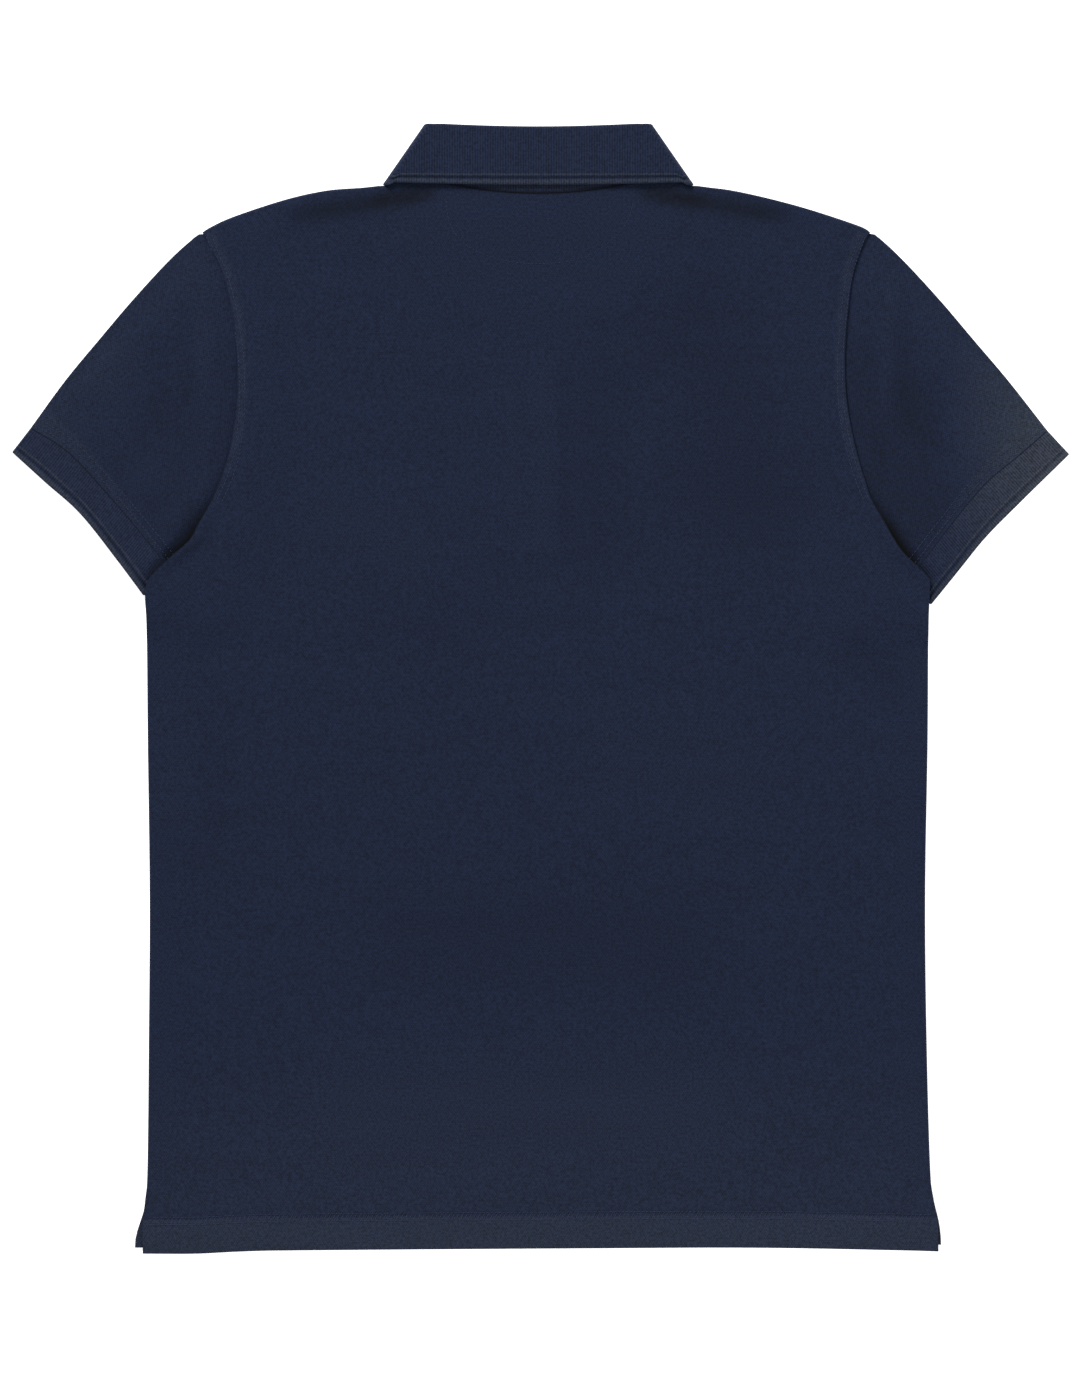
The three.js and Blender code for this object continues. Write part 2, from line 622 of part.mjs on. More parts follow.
function cuff(side) {
  const inner = curveThrough(CUFF_SEAM, side);
  const edge = curveThrough(CUFF_EDGE, side);
  const width = inner.getPointAt(0.5).distanceTo(edge.getPointAt(0.5));
  const place = patch(
    inner,
    edge,
    straight(inner.getPointAt(0), edge.getPointAt(0)),
    straight(inner.getPointAt(1), edge.getPointAt(1)),
  );
  const fromEdge = [9, 7.8, 6.7, 5.3, 3.7, 2.0, 0];
  const start = (2 * SEAM_GAP) / width;
  const sections = [start, 0.3, ...fromEdge.map((d) => 1 - d / width)];
  const levels = tubeLevels(side, () => 1);
  const raiseAt = (s) => ridgeHeight((1 - s) * width);
  const grid = flatTube(sections, evenly(10), RIB / 2, place, levels, raiseAt);
  return mesh(`cuff_${side}`, wall(grid, { ring: true, outer: outerSide(side) }), NAVY_RIB);
}

// Collar stations run from the right front end round the back to the left front end.
// Each gives the stand's base, the fold and the leaf's edge from above, and how far it has turned
// from the back, at a quarter turn up, to the front, at a quarter turn down.
function collarStations() {
  const stations = [];
  const quarter = Math.PI / 2;
  const seamXs = COLLAR_COLUMNS.filter((x) => fromNeckCentre(x) < 0.98 && Math.abs(x - NECK_X) > 20);
  const frontXs = (s) => [NECK_X + s * 20, NECK_X + s * 12, NECK_X + s * FRONT_END]
    .concat(seamXs.filter((x) => Math.sign(x - NECK_X) === s))
    .sort((a, b) => s * (b - a));
  const corner = (s) => ({
    base: [neckX(s * STAND_HALF_WIDTH), NECK_SIDE_Y + SEAM_GAP],
    fold: [neckX(s * (FOLD_HALF_WIDTH - LEAF_HALF - RIB / 2)), FOLD_Y.side],
    edge: [neckX(s * (LEAF_HALF_WIDTH - LEAF_HALF - RIB / 2)), LEAF_EDGE_Y.corner],
  });
  const frontStation = (x, s) => {
    const share = clamp((STAND_HALF_WIDTH - Math.abs(x - NECK_X)) / (STAND_HALF_WIDTH - FRONT_END));
    const from = corner(s);
    const along = share ** 1.15;
    return {
      s,
      turn: -quarter,
      base: [x, frontTopY(x) + 2.5 * SEAM_GAP],
      fold: [
        lerp(from.fold[0], neckX(s * FRONT_FOLD.x), along),
        lerp(from.fold[1], FRONT_FOLD.y, along),
      ],
      edge: [
        lerp(from.edge[0], neckX(s * LEAF_POINT.x), along),
        lerp(from.edge[1], LEAF_POINT.y, along),
      ],
    };
  };
  const sideTurns = [1, 0.6, 0.25, -0.05, -0.35, -0.7, -1].map((t) => t * quarter);
  frontXs(1).reverse().forEach((x) => stations.push(frontStation(x, 1)));
  sideTurns.slice().reverse().forEach((turn) => stations.push({ s: 1, turn, ...corner(1) }));
  for (const t of [0.93, 0.75, 0.5, 0.25, 0, -0.25, -0.5, -0.75, -0.93]) {
    const middle = Math.cos((t * Math.PI) / 2);
    const from = corner(1);
    const x = (offset) => NECK_X + t * (offset - NECK_X);
    stations.push({
      s: Math.sign(t) || 1,
      turn: quarter,
      base: [x(from.base[0]), backTopY(x(from.base[0])) + SEAM_GAP],
      fold: [x(from.fold[0]), lerp(FOLD_Y.side, FOLD_Y.middle, middle)],
      edge: [x(from.edge[0]), lerp(LEAF_EDGE_Y.side, LEAF_EDGE_Y.middle, middle)],
    });
  }
  sideTurns.forEach((turn) => stations.push({ s: -1, turn, ...corner(-1) }));
  frontXs(-1).forEach((x) => stations.push(frontStation(x, -1)));
  return stations;
}

function collar() {
  const stations = collarStations();
  const radius = (LEAF_HALF - STAND_HALF) / 2;
  const standShares = [0, 0.35, 0.7, 1];
  const foldTurns = [0.25, 0.5, 0.75].map((t) => t * Math.PI);
  const fromEdge = [9, 7.8, 6.7, 5.3, 3.7, 2.0, 0];
  const pointOf = (station, xy, half) => new THREE.Vector3(
    xy[0] + station.s * half * Math.cos(station.turn),
    xy[1],
    COLLAR_Z + half * Math.sin(station.turn),
  );
  const flatDistance = (a, b) => Math.hypot(a[0] - b[0], a[1] - b[1]);
  const mix = (a, b, t) => [lerp(a[0], b[0], t), lerp(a[1], b[1], t)];
  const columns = stations.map((station) => {
    const { base, fold, edge } = station;
    const height = flatDistance(base, fold);
    const up = [(fold[0] - base[0]) / height, (fold[1] - base[1]) / height];
    const back = radius + RIB / 2;
    const centre = [fold[0] - up[0] * back, fold[1] - up[1] * back];
    const leaf = flatDistance(centre, edge);
    const stand = standShares.map((t) => ({ at: pointOf(station, mix(base, centre, t), STAND_HALF) }));
    const round = foldTurns.map((turn) => {
      const rise = radius * Math.sin(turn);
      const xy = [centre[0] + up[0] * rise, centre[1] + up[1] * rise];
      return { at: pointOf(station, xy, STAND_HALF + radius * (1 - Math.cos(turn))) };
    });
    const leafShares = [0, 0.4, ...fromEdge.map((d) => 1 - d / leaf)];
    const hanging = leafShares.map((t) => ({
      at: pointOf(station, mix(centre, edge, t), LEAF_HALF),
      raise: ridgeHeight((1 - t) * leaf) * clamp(Math.sin(station.turn)),
    }));
    return [...stand, ...round, ...hanging].map((point) => ({ half: RIB / 2, ...point }));
  });
  const grid = columns[0].map((_, i) => columns.map((column) => column[i]));
  return mesh('collar', wall(grid), NAVY_RIB);
}

// A round button with a raised rim, its face to the surface
function button(name, y) {
  const { radius, thickness, rim, dish } = BUTTON;
  const profile = [
    [0, dish], [radius - rim - 0.5, dish], [radius - rim, 0], [radius - 0.4, 0],
    [radius, 0.4], [radius, thickness - 0.3], [radius - 0.5, thickness], [0, thickness],
  ];
  const geometry = new THREE.LatheGeometry(profile.map(([r, z]) => new THREE.Vector2(r, z)), 24);
  geometry.rotateX(Math.PI / 2);
  const piece = mesh(name, geometry, NAVY_BUTTON);
  piece.position.set((PLACKET.left + PLACKET.right) / 2, y, 0);
  return piece;
}

const shirt = new THREE.Group();
shirt.add(frontPanel());
shirt.add(backPanel());
for (const side of ['left', 'right']) {
  shirt.add(sleeve(side));
  shirt.add(cuff(side));
}
shirt.add(collar());
shirt.add(placketStrip('placket_upper', 0));
shirt.add(placketStrip('placket_under', 1));
BUTTON_YS.forEach((y, i) => shirt.add(button(`button_${i + 1}`, y)));

export default shirt;
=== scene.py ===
# %% [markdown]
# # A polo shirt, laid flat and face down
#
# The shirt is cotton knit, seen from behind. It is sewn from a front, a back, two sleeves,
# two rib cuffs, a rib collar and a two-part placket, and three buttons close it.
# The frame holds each piece as a plain solid wall. Here each piece gets its fine surface:
# a thin shell on that wall's form, with creases, raised seams, stitches and knit.

# %% Load the frame
import math

import bpy
import numpy as np
from mathutils import Matrix, Vector
from mathutils.bvhtree import BVHTree


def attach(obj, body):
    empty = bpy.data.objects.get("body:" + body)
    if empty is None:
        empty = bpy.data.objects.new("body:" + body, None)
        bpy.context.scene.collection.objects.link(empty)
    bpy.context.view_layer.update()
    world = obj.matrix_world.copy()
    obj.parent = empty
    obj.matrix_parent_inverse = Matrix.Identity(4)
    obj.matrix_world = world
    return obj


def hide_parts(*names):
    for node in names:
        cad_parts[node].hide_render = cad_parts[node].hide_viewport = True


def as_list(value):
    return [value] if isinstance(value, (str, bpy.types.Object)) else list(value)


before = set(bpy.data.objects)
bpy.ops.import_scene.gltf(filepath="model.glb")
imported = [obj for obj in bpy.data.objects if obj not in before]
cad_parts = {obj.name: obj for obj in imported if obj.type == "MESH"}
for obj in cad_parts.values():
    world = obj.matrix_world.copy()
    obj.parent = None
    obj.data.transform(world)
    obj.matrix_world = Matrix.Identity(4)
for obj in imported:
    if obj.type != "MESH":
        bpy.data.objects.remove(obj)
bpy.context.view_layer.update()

# %% [markdown]
# The camera looks straight down from far away with a long lens, as a studio camera does
# above a garment on a table. From six metres the cloth's small heights hardly move anything
# in the picture, so the outline reads at one scale.

# %% Camera
MM = 0.001
CAMERA_HEIGHT = 6.0
PICTURE_HEIGHT = 0.9361  # metres of table from the top of the picture to its bottom
PICTURE_CENTRE = (0.0002, -0.00055)
SENSOR = 36.0

camera_data = bpy.data.cameras.new("studio_camera")
camera_data.sensor_width = SENSOR
camera_data.lens = SENSOR * CAMERA_HEIGHT / PICTURE_HEIGHT
camera_data.clip_end = 20
camera = bpy.data.objects.new("studio_camera", camera_data)
camera.location = (*PICTURE_CENTRE, CAMERA_HEIGHT)
bpy.context.scene.collection.objects.link(camera)
bpy.context.scene.camera = camera
print("lens in mm:", round(camera_data.lens, 1))

# %% [markdown]
# Colours are written as they look on a screen, in sRGB. Blender's nodes work in linear light,
# so one function turns a hex value to linear. A second one adds a node with its settings and
# links, which keeps each material short.

# %% Colour and node helpers


def linear(hex_colour):
    """sRGB hex to a linear colour with alpha."""
    parts = [int(hex_colour[i : i + 2], 16) / 255 for i in (1, 3, 5)]
    return [c / 12.92 if c <= 0.04045 else ((c + 0.055) / 1.055) ** 2.4 for c in parts] + [1.0]


def add(tree, kind, inputs=None, **settings):
    """A node of a kind, with its settings, and its inputs set or linked by name or number."""
    node = tree.nodes.new(kind)
    for key, value in settings.items():
        setattr(node, key, value)
    sockets = [socket for socket in node.inputs if socket.enabled]
    for key, value in (inputs or {}).items():
        named = [socket for socket in sockets if socket.name == key]
        socket = sockets[key] if isinstance(key, int) else named[0]
        if isinstance(value, bpy.types.NodeSocket):
            tree.links.new(value, socket)
        else:
            socket.default_value = value
    return node


def new_material(name, values):
    """A material whose only nodes are a Principled shader, with its values set, and the output."""
    material = bpy.data.materials.new(name)
    material.use_nodes = True
    tree = material.node_tree
    tree.nodes.clear()
    shader = add(tree, "ShaderNodeBsdfPrincipled", values)
    add(tree, "ShaderNodeOutputMaterial", {"Surface": shader.outputs["BSDF"]})
    return material


# %% [markdown]
# The floor is plain and white, and so is the light: a large soft panel stands beyond the collar
# and leans over the shirt, and an even white room fills the shadows. Light from the collar's
# side is what gives the leaf its thin shadow and makes its ridges catch the light. Two weak
# panels, one at the hem and one low at the right, keep the far cloth from going flat.

# %% Floor and light
FLOOR_SIZE = 12.0
FLOOR_DROP = 0.2 * MM

bpy.ops.object.select_all(action="DESELECT")
bpy.ops.mesh.primitive_plane_add(size=FLOOR_SIZE, location=(0, 0, 0))
floor = bpy.context.object
floor.name = "table_top"
floor.data.transform(floor.matrix_world)
floor.matrix_world.identity()
floor.data.transform(Matrix.Translation((0, 0, -FLOOR_DROP)))

WHITE = linear("#FFFFFF")
paper = new_material("white paper sweep", {
    "Base Color": linear("#F7F7F7"),
    "Roughness": 0.9,
    "Emission Color": WHITE,
    "Emission Strength": 0.8,
})
floor.data.materials.append(paper)

world = bpy.data.worlds.new("white room")
world.use_nodes = True
room = world.node_tree.nodes["Background"]
room.inputs["Color"].default_value = WHITE
room.inputs["Strength"].default_value = 0.38
bpy.context.scene.world = world


def soft_panel(name, place, size, power):
    """A square area light that faces the middle of the shirt."""
    data = bpy.data.lights.new(name, "AREA")
    data.shape = "SQUARE"
    data.size = size
    data.energy = power
    light = bpy.data.objects.new(name, data)
    light.location = place
    light.rotation_euler = Vector(place).to_track_quat("Z", "Y").to_euler()
    bpy.context.scene.collection.objects.link(light)


soft_panel("key_panel", (-1.2, 2.5, 1.7), 1.0, 98)
soft_panel("hem_panel", (0.15, -1.35, 0.55), 0.8, 9)
soft_panel("side_panel", (0.95, 0.3, 0.34), 0.4, 2.2)
bpy.context.scene.view_settings.view_transform = "Standard"
print("floor, room and", len(bpy.data.lights), "soft panels are in place")

# %% [markdown]
# ## The sizes that the pattern cutter works from
#
# All sizes below are millimetres, as on the paper pattern. They are the driving sizes of
# the frame, so the shells lie on the frame's walls.

# %% Sizes of the cloth
CLOTH = 1.0  # pique knit
RIB = 1.6  # flat-knitted rib
HEM = 1.5  # doubled cloth at the bottom
HEM_DEPTH = 22
SEWN = 0.02  # between pieces that a seam joins
LAYER_GAP = 0.5
LAYER = CLOTH + LAYER_GAP
RIB_LAYER = RIB + LAYER_GAP

NECK_X = -1
NECK_HALF = 87.5
NECK_SIDE_Y = 350
BACK_NECK_Y = 336
FRONT_NECK_Y = 258
PLACKET = {"left": -18, "right": 12, "bottom": 68.5}
BUTTON_RADIUS = 5.75
BUTTON_THICKNESS = 1.5
BUTTON_YS = (238, 174, 110)
BUTTON_LIFT = BUTTON_THICKNESS + 0.4
PLACKET_RAMP = {"start": 2, "length": 26}

STAND_HALF = 1.25
LEAF_HALF = 3.85
COLLAR_Z = LEAF_HALF + RIB / 2
FOLD_Y = {"side": 383.4, "middle": 381.3}
FOLD_HALF_WIDTH = 77.5
LEAF_EDGE_Y = {"corner": 341.4, "side": 343.2, "middle": 341.5}
LEAF_HALF_WIDTH = 105.7
STAND_HALF_WIDTH = 85
FRONT_FOLD = {"x": 5.5, "y": 289.5}
LEAF_POINT = {"x": 47.5, "y": 240}
FRONT_END = 4.5
RIDGES = (
    {"from_edge": 1.9, "half_width": 2.0, "height": 0.5},
    {"from_edge": 4.7, "half_width": 0.9, "height": -0.3},
    {"from_edge": 6.8, "half_width": 1.0, "height": 0.4},
)
RIDGE_TOP = 0.35  # share of a ridge's half width that is level

ROLL = 1.6
ROLL_HEIGHT = 2.5
ROLL_FADE = 28
UNDERARM_Y = 62
VENT_TOP_Y = -342
FRONT_VENT = {"left": 5.3, "right": 1.9, "top": -352, "length": 26}
SIDE_ROLL = {"vent_length": 16, "underarm_start": 34, "underarm_length": 20}
OFF_BODY = {"margin": 12, "length": 22}
LIFTS = {
    "leaf_under_front": {"rise": 2.1, "margin": 16, "length": 36},
    "placket_beside_front": {"rise": BUTTON_LIFT, "margin": 3, "length": 45},
    "front_to_neck_seam": {"rise": 0.8, "margin": 0, "length": 16},
    "placket_under_back": {"rise": LAYER, "margin": 10, "length": 26},
    "sleeve_under_back": {"rise": 2 * LAYER, "margin": 9, "length": 32},
    "cuff_under_back": {"rise": 1.3, "margin": 12, "length": 26},
    "neck_under_back": {"rise": 1, "margin": 14, "length": 50},
}

# %% [markdown]
# The outline of each pattern piece is a short table, a row for each height or place, and a
# smooth curve runs through its rows. The shirt isn't quite even, as no laid-out shirt is,
# so left and right have columns of their own.

# %% Outline tables
SIDE = {
    "y": (-384, -363, -348, -335, -240, -144, -35, 46, 66, 74, 82, 91.5, 101, 112, 128, 153,
          182, 204.5, 229.5, 251.5, 270.5, 284, 295.5, 303, 309.5),
    "left": (-269.6, -269.5, -268.0, -266.6, -265.5, -264.9, -266.2, -267.0, -267.8, -265.3,
             -258.4, -247.9, -237.4, -231.5, -220.8, -210.7, -206.0, -205.4, -206.6, -210.1,
             -214.3, -218.8, -223.7, -226.6, -229.0),
    "right": (270.8, 270.1, 267.4, 265.5, 262.8, 261.8, 263.5, 264.0, 264.6, 264.2, 256.5,
              246.8, 240.4, 234.3, 225.3, 216.0, 209.4, 207.3, 207.7, 209.6, 211.8, 214.7,
              218.6, 221.4, 224.4),
}
SHOULDER = {
    "x": (-229.0, -225.0, -213.2, -192.0, -173.1, -156.7, -140.4, -121.0, -108.5, -103.5, -98.5,
          -91.5, -88.5, 86.5, 89.5, 96.5, 101.5, 106.5, 117.0, 127.5, 141.8, 159.5, 182.5,
          205.0, 220.5, 224.4),
    "y": (309.5, 312.2, 318.1, 325.8, 331.7, 335.8, 338.5, 339.8, 341.1, 341.4, 345.0,
          349.5, 350.0, 350.0, 349.5, 345.0, 341.4, 341.1, 339.8, 338.5, 335.8, 331.7, 325.4,
          318.1, 312.4, 309.5),
}
HEM_LINE = {
    "x": (-270, -233, -207, -181, 41, 150, 253, 271),
    "back": (-384.0, -384.0, -382.7, -381.9, -380.3, -380.0, -381.9, -382.5),
    "front": (-380.0, -379.4, -378.8, -378.6, -378.0, -377.6, -378.0, -378.0),
}
SLEEVE_INNER_END = {
    "left": ((-223.5, 307.2), (-213.2, 284.1), (-204.5, 251.4), (-200.0, 204.5),
             (-201.6, 168.5), (-206.4, 141.3), (-212.0, 117.5), (-219.0, 90.3), (-228.5, 59.7)),
    "right": ((219.5, 307.4), (209.3, 284.1), (204.3, 251.4), (201.4, 204.5), (204.4, 168.5),
              (209.5, 141.3), (214.5, 117.5), (219.3, 86.9), (225.7, 51.5)),
}
SLEEVE_TOP = {
    "left": ((-223.5, 307.2), (-230.4, 308.6), (-238.0, 303.0), (-251.3, 290.9),
             (-276.4, 263.7), (-299.5, 236.5), (-322.0, 209.3), (-345.8, 176.6)),
    "right": ((219.5, 307.4), (225.6, 308.9), (233.4, 303.2), (246.5, 290.9),
              (271.7, 263.7), (294.8, 236.5), (317.9, 209.3), (344.8, 174.9)),
}
CUFF_SEAM = {
    "left": ((-345.8, 176.6), (-322.0, 161.7), (-292.4, 130.8), (-265.3, 98.7), (-252.6, 82.8)),
    "right": ((344.8, 174.9), (325.2, 157.8), (303.2, 139.4), (277.1, 108.2), (251.3, 74.6)),
}
CUFF_EDGE = {
    "left": ((-358.4, 160.3), (-335.6, 139.6), (-313.1, 119.5), (-287.0, 86.9), (-268.9, 62.7)),
    "right": ((359.7, 158.9), (327.1, 127.0), (302.3, 101.8), (285.5, 81.1), (265.7, 56.7)),
}

# %% [markdown]
# Small functions read the tables. They take whole arrays of points at once, which is what
# makes a mesh of many thousand points quick to work out.

# %% Curves and distances


def lerp(a, b, t):
    return a + (b - a) * t


def clamp(t):
    return np.clip(t, 0.0, 1.0)


def smooth(t):
    t = clamp(t)
    return t * t * (3 - 2 * t)


def fade(distance, start, length):
    """1 up to a distance of start, then down to 0 over the length."""
    return 1 - smooth((distance - start) / length)


def lift(name, distance):
    return LIFTS[name]["rise"] * fade(distance, LIFTS[name]["margin"], LIFTS[name]["length"])


def table_at(table, key, column, value):
    """A smooth curve through a table's rows, read at values of its key column."""
    keys = np.array(table[key], float)
    values = np.array(table[column], float)
    slopes = np.empty(len(keys))
    slopes[1:-1] = (values[2:] - values[:-2]) / (keys[2:] - keys[:-2])
    slopes[0] = (values[1] - values[0]) / (keys[1] - keys[0])
    slopes[-1] = (values[-1] - values[-2]) / (keys[-1] - keys[-2])
    value = np.asarray(value, float)
    i = np.clip(np.searchsorted(keys, value) - 1, 0, len(keys) - 2)
    span = keys[i + 1] - keys[i]
    t = clamp((value - keys[i]) / span)
    rise = values[i + 1] - values[i]
    a = slopes[i] * span - rise
    b = rise - slopes[i + 1] * span
    return lerp(values[i], values[i + 1], t) + t * (1 - t) * (a * (1 - t) + b * t)


CURVE_SAMPLES = 60


def curve_through(points):
    """A function that gives points along a smooth curve, evenly by its length."""
    p = np.array(points, float)
    p = np.vstack([2 * p[0] - p[1], p, 2 * p[-1] - p[-2]])
    line = []
    for k in range(1, len(p) - 2):
        p0, p1, p2, p3 = p[k - 1 : k + 3]
        d0, d1, d2 = (np.linalg.norm(b - a) ** 0.5 for a, b in ((p0, p1), (p1, p2), (p2, p3)))
        m1 = ((p1 - p0) / d0 - (p2 - p0) / (d0 + d1) + (p2 - p1) / d1) * d1
        m2 = ((p2 - p1) / d1 - (p3 - p1) / (d1 + d2) + (p3 - p2) / d2) * d1
        t = np.linspace(0, 1, CURVE_SAMPLES)[:, None]
        a = 2 * p1 - 2 * p2 + m1 + m2
        b = -3 * p1 + 3 * p2 - 2 * m1 - m2
        line.append(a * t**3 + b * t**2 + m1 * t + p1)
    line = np.vstack(line)
    along = np.concatenate([[0], np.cumsum(np.linalg.norm(np.diff(line, axis=0), axis=1))])
    along /= along[-1]
    return lambda u: np.stack([np.interp(u, along, line[:, k]) for k in (0, 1)], axis=-1)


def distance_outside(outline, x, y):
    """Distance from points to a closed outline, 0 inside it."""
    inside = np.zeros(np.shape(x), bool)
    nearest = np.full(np.shape(x), np.inf)
    for (x1, y1), (x2, y2) in zip(outline, (*outline[1:], outline[0])):
        if y1 != y2:
            crosses = ((y1 > y) != (y2 > y)) & (x < x1 + (y - y1) / (y2 - y1) * (x2 - x1))
            inside ^= crosses
        length = (x2 - x1) ** 2 + (y2 - y1) ** 2
        t = clamp(((x - x1) * (x2 - x1) + (y - y1) * (y2 - y1)) / length)
        nearest = np.minimum(nearest, np.hypot(x - lerp(x1, x2, t), y - lerp(y1, y2, t)))
    return np.where(inside, 0, nearest)


# %% [markdown]
# ## Where each layer lies
#
# A laid-out shirt is a stack of layers. The front lies on the table, the back on the front,
# and each rises over what lies under it: the collar's leaf, the buttons and placket, the
# sleeve tops that reach in under the back. The rises are soft, because knit cloth bridges
# a step instead of following it.

# %% Outlines from above


def side_x(y, side):
    return table_at(SIDE, "y", side, y)


def shoulder_y(x):
    return table_at(SHOULDER, "x", "y", x)


def from_neck_centre(x):
    return np.abs(x - NECK_X) / NECK_HALF


NECK_FADE = (0.95, 0.3)  # in half widths of the neck: where the rise to its seam fades out
NECK_POWER = {"back": 2.1, "front": 2.2}  # how round the necklines are


def neckline_y(x, lowest, power):
    """Top edge of a panel: its neckline between the neck's sides, its shoulders beyond them."""
    s = from_neck_centre(x)
    return np.where(s >= 1, shoulder_y(x), lerp(lowest, NECK_SIDE_Y, clamp(s) ** power))


def back_top_y(x):
    return neckline_y(x, BACK_NECK_Y, NECK_POWER["back"])


def front_top_y(x):
    return neckline_y(x, FRONT_NECK_Y, NECK_POWER["front"])


def neck_x(offset):
    return NECK_X + offset


LEAF_SHAPES = [
    (
        (neck_x(s * FOLD_HALF_WIDTH), FOLD_Y["side"]),
        (neck_x(s * FRONT_FOLD["x"]), FRONT_FOLD["y"]),
        (neck_x(s * LEAF_POINT["x"]), LEAF_POINT["y"]),
        (neck_x(s * LEAF_HALF_WIDTH), LEAF_EDGE_Y["corner"]),
    )
    for s in (-1, 1)
]
HALF_WAY_Y = lerp(FRONT_NECK_Y, NECK_SIDE_Y, 0.22)
NECK_SHAPE = (
    (neck_x(-NECK_HALF), NECK_SIDE_Y),
    (neck_x(-NECK_HALF / 2), HALF_WAY_Y),
    (neck_x(0), FRONT_NECK_Y),
    (neck_x(NECK_HALF / 2), HALF_WAY_Y),
    (neck_x(NECK_HALF), NECK_SIDE_Y),
)
PLACKET_SHAPE = (
    (PLACKET["left"], PLACKET["bottom"]),
    (PLACKET["right"], PLACKET["bottom"]),
    (PLACKET["right"], FRONT_NECK_Y),
    (PLACKET["left"], FRONT_NECK_Y),
)
SLEEVE_SHAPES = {
    side: (*SLEEVE_INNER_END[side], *CUFF_SEAM[side][::-1], *SLEEVE_TOP[side][-2:0:-1])
    for side in ("left", "right")
}
CUFF_SHAPES = {
    side: (CUFF_SEAM[side][-1], CUFF_EDGE[side][-1], CUFF_EDGE[side][-2], CUFF_SEAM[side][-2])
    for side in ("left", "right")
}

# %% Levels of front and back


def placket_lift(y):
    above = y - PLACKET["bottom"] - PLACKET_RAMP["start"]
    return BUTTON_LIFT * smooth(above / PLACKET_RAMP["length"])


def front_level(x, y):
    """Middle of the front's cloth above the table."""
    leaf = np.minimum(*(distance_outside(shape, x, y) for shape in LEAF_SHAPES))
    over_leaf = lift("leaf_under_front", leaf)
    beside = lift("placket_beside_front", distance_outside(PLACKET_SHAPE, x, y))
    on_buttons = placket_lift(y) / BUTTON_LIFT * beside
    inside_neck = fade(from_neck_centre(x), *NECK_FADE)
    to_neck_seam = inside_neck * lift("front_to_neck_seam", front_top_y(x) - y)
    return CLOTH / 2 + np.maximum(over_leaf, on_buttons) + to_neck_seam


def by_side(x, function):
    """One side's value left of the neck, the other's right of it."""
    return np.where(x < NECK_X, function("left"), function("right"))


def back_level(x, y):
    """Middle of the back's cloth above the table."""
    from_cuff = by_side(x, lambda side: distance_outside(CUFF_SHAPES[side], x, y))
    from_sleeve = by_side(x, lambda side: distance_outside(SLEEVE_SHAPES[side], x, y))
    stacked = (
        front_level(x, y)
        + LAYER
        + lift("placket_under_back", distance_outside(PLACKET_SHAPE, x, y))
        + lift("sleeve_under_back", np.minimum(from_sleeve, from_cuff))
        + lift("cuff_under_back", from_cuff)
    )
    near_neck = lift("neck_under_back", distance_outside(NECK_SHAPE, x, y))
    return np.maximum(stacked, lerp(CLOTH / 2 + LAYER, COLLAR_Z + STAND_HALF, near_neck))


def side_roll(y):
    """How much the side edge is rolled: not at the vents or at the armholes."""
    from_vent = smooth((y - VENT_TOP_Y) / SIDE_ROLL["vent_length"])
    below_arm = UNDERARM_Y - SIDE_ROLL["underarm_start"]
    return from_vent * (1 - smooth((y - below_arm) / SIDE_ROLL["underarm_length"]))


# %% [markdown]
# ## Creases
#
# Knit laid out by hand keeps a few soft waves: along the sleeves, where they fold down from
# the shoulder, and low swells across the body. Each is a row of a table: its two ends, its
# width and its height, where a minus sign makes a trough. The few that hardly any light gets
# into have a fifth value, their shade. All are uneven in length, spacing and depth.

# %% Crease tables
BACK_CREASES = (
    ((-185, 318), (-62, 337), 6.5, -0.7, -0.38),
    ((-120, 329), (-66, 338), 4.5, -0.3, -0.22),
    ((60, 338), (180, 318), 6, -0.7, -0.38),
    ((62, 338), (118, 329), 4.5, -0.3, -0.22),
    ((-205, 312), (-150, 326), 9, 0.8),
    ((90, 300), (170, 90), 46, -0.5, -0.06),
    ((-250, 10), (-246, -110), 16, 0.7),
    ((-222, 0), (-226, -150), 18, -0.5),
    ((205, 40), (250, -20), 17, -0.6),
    ((-150, -160), (160, -180), 46, -0.7),
    ((-190, -290), (170, -275), 42, 0.8),
    ((60, 150), (190, 90), 30, -0.5),
    ((-170, 130), (-60, 80), 30, 0.5),
    ((-140, 60), (-30, 20), 26, -0.4),
    ((20, -40), (170, -70), 32, 0.5),
    ((3, 238), (4, 70), 9, 0.6),
    ((-17.5, 225), (-17.5, 92), 4.0, 0.5),
    ((17.5, 243), (17, 72), 4.5, -0.6),
    ((42, 250), (38, 60), 24, -0.6),
)
FRONT_CREASES = (
    ((-180, 60), (-60, 10), 24, 0.5),
    ((150, 30), (60, -30), 22, 0.45),
    ((-150, -190), (140, -210), 30, 0.5),
)
SLEEVE_CREASES = {
    "left": (
        ((-229, 262), (-226, 185), 5.5, 0.8),
        ((-240, 268), (-240, 180), 6.5, -0.6),
        ((-252, 250), (-262, 165), 12, -0.7),
        ((-285, 238), (-300, 190), 16, 0.8),
        ((-226, 150), (-229, 122), 3, 0.7),
        ((-250, 150), (-285, 140), 12, 0.5),
    ),
    "right": (
        ((237, 285), (234, 170), 5.5, 0.95),
        ((248, 275), (249, 160), 8, -0.9),
        ((258, 220), (272, 150), 12, -0.6),
        ((285, 240), (310, 190), 16, 0.8),
        ((226, 180), (236, 130), 4, -0.5),
    ),
}
END_SHARE = 0.22  # a crease fades out over this share of its length at each end
CREASE_PAINTED_LIGHT = 0.16  # painted highlight on crests and painted shade in troughs, for each millimetre
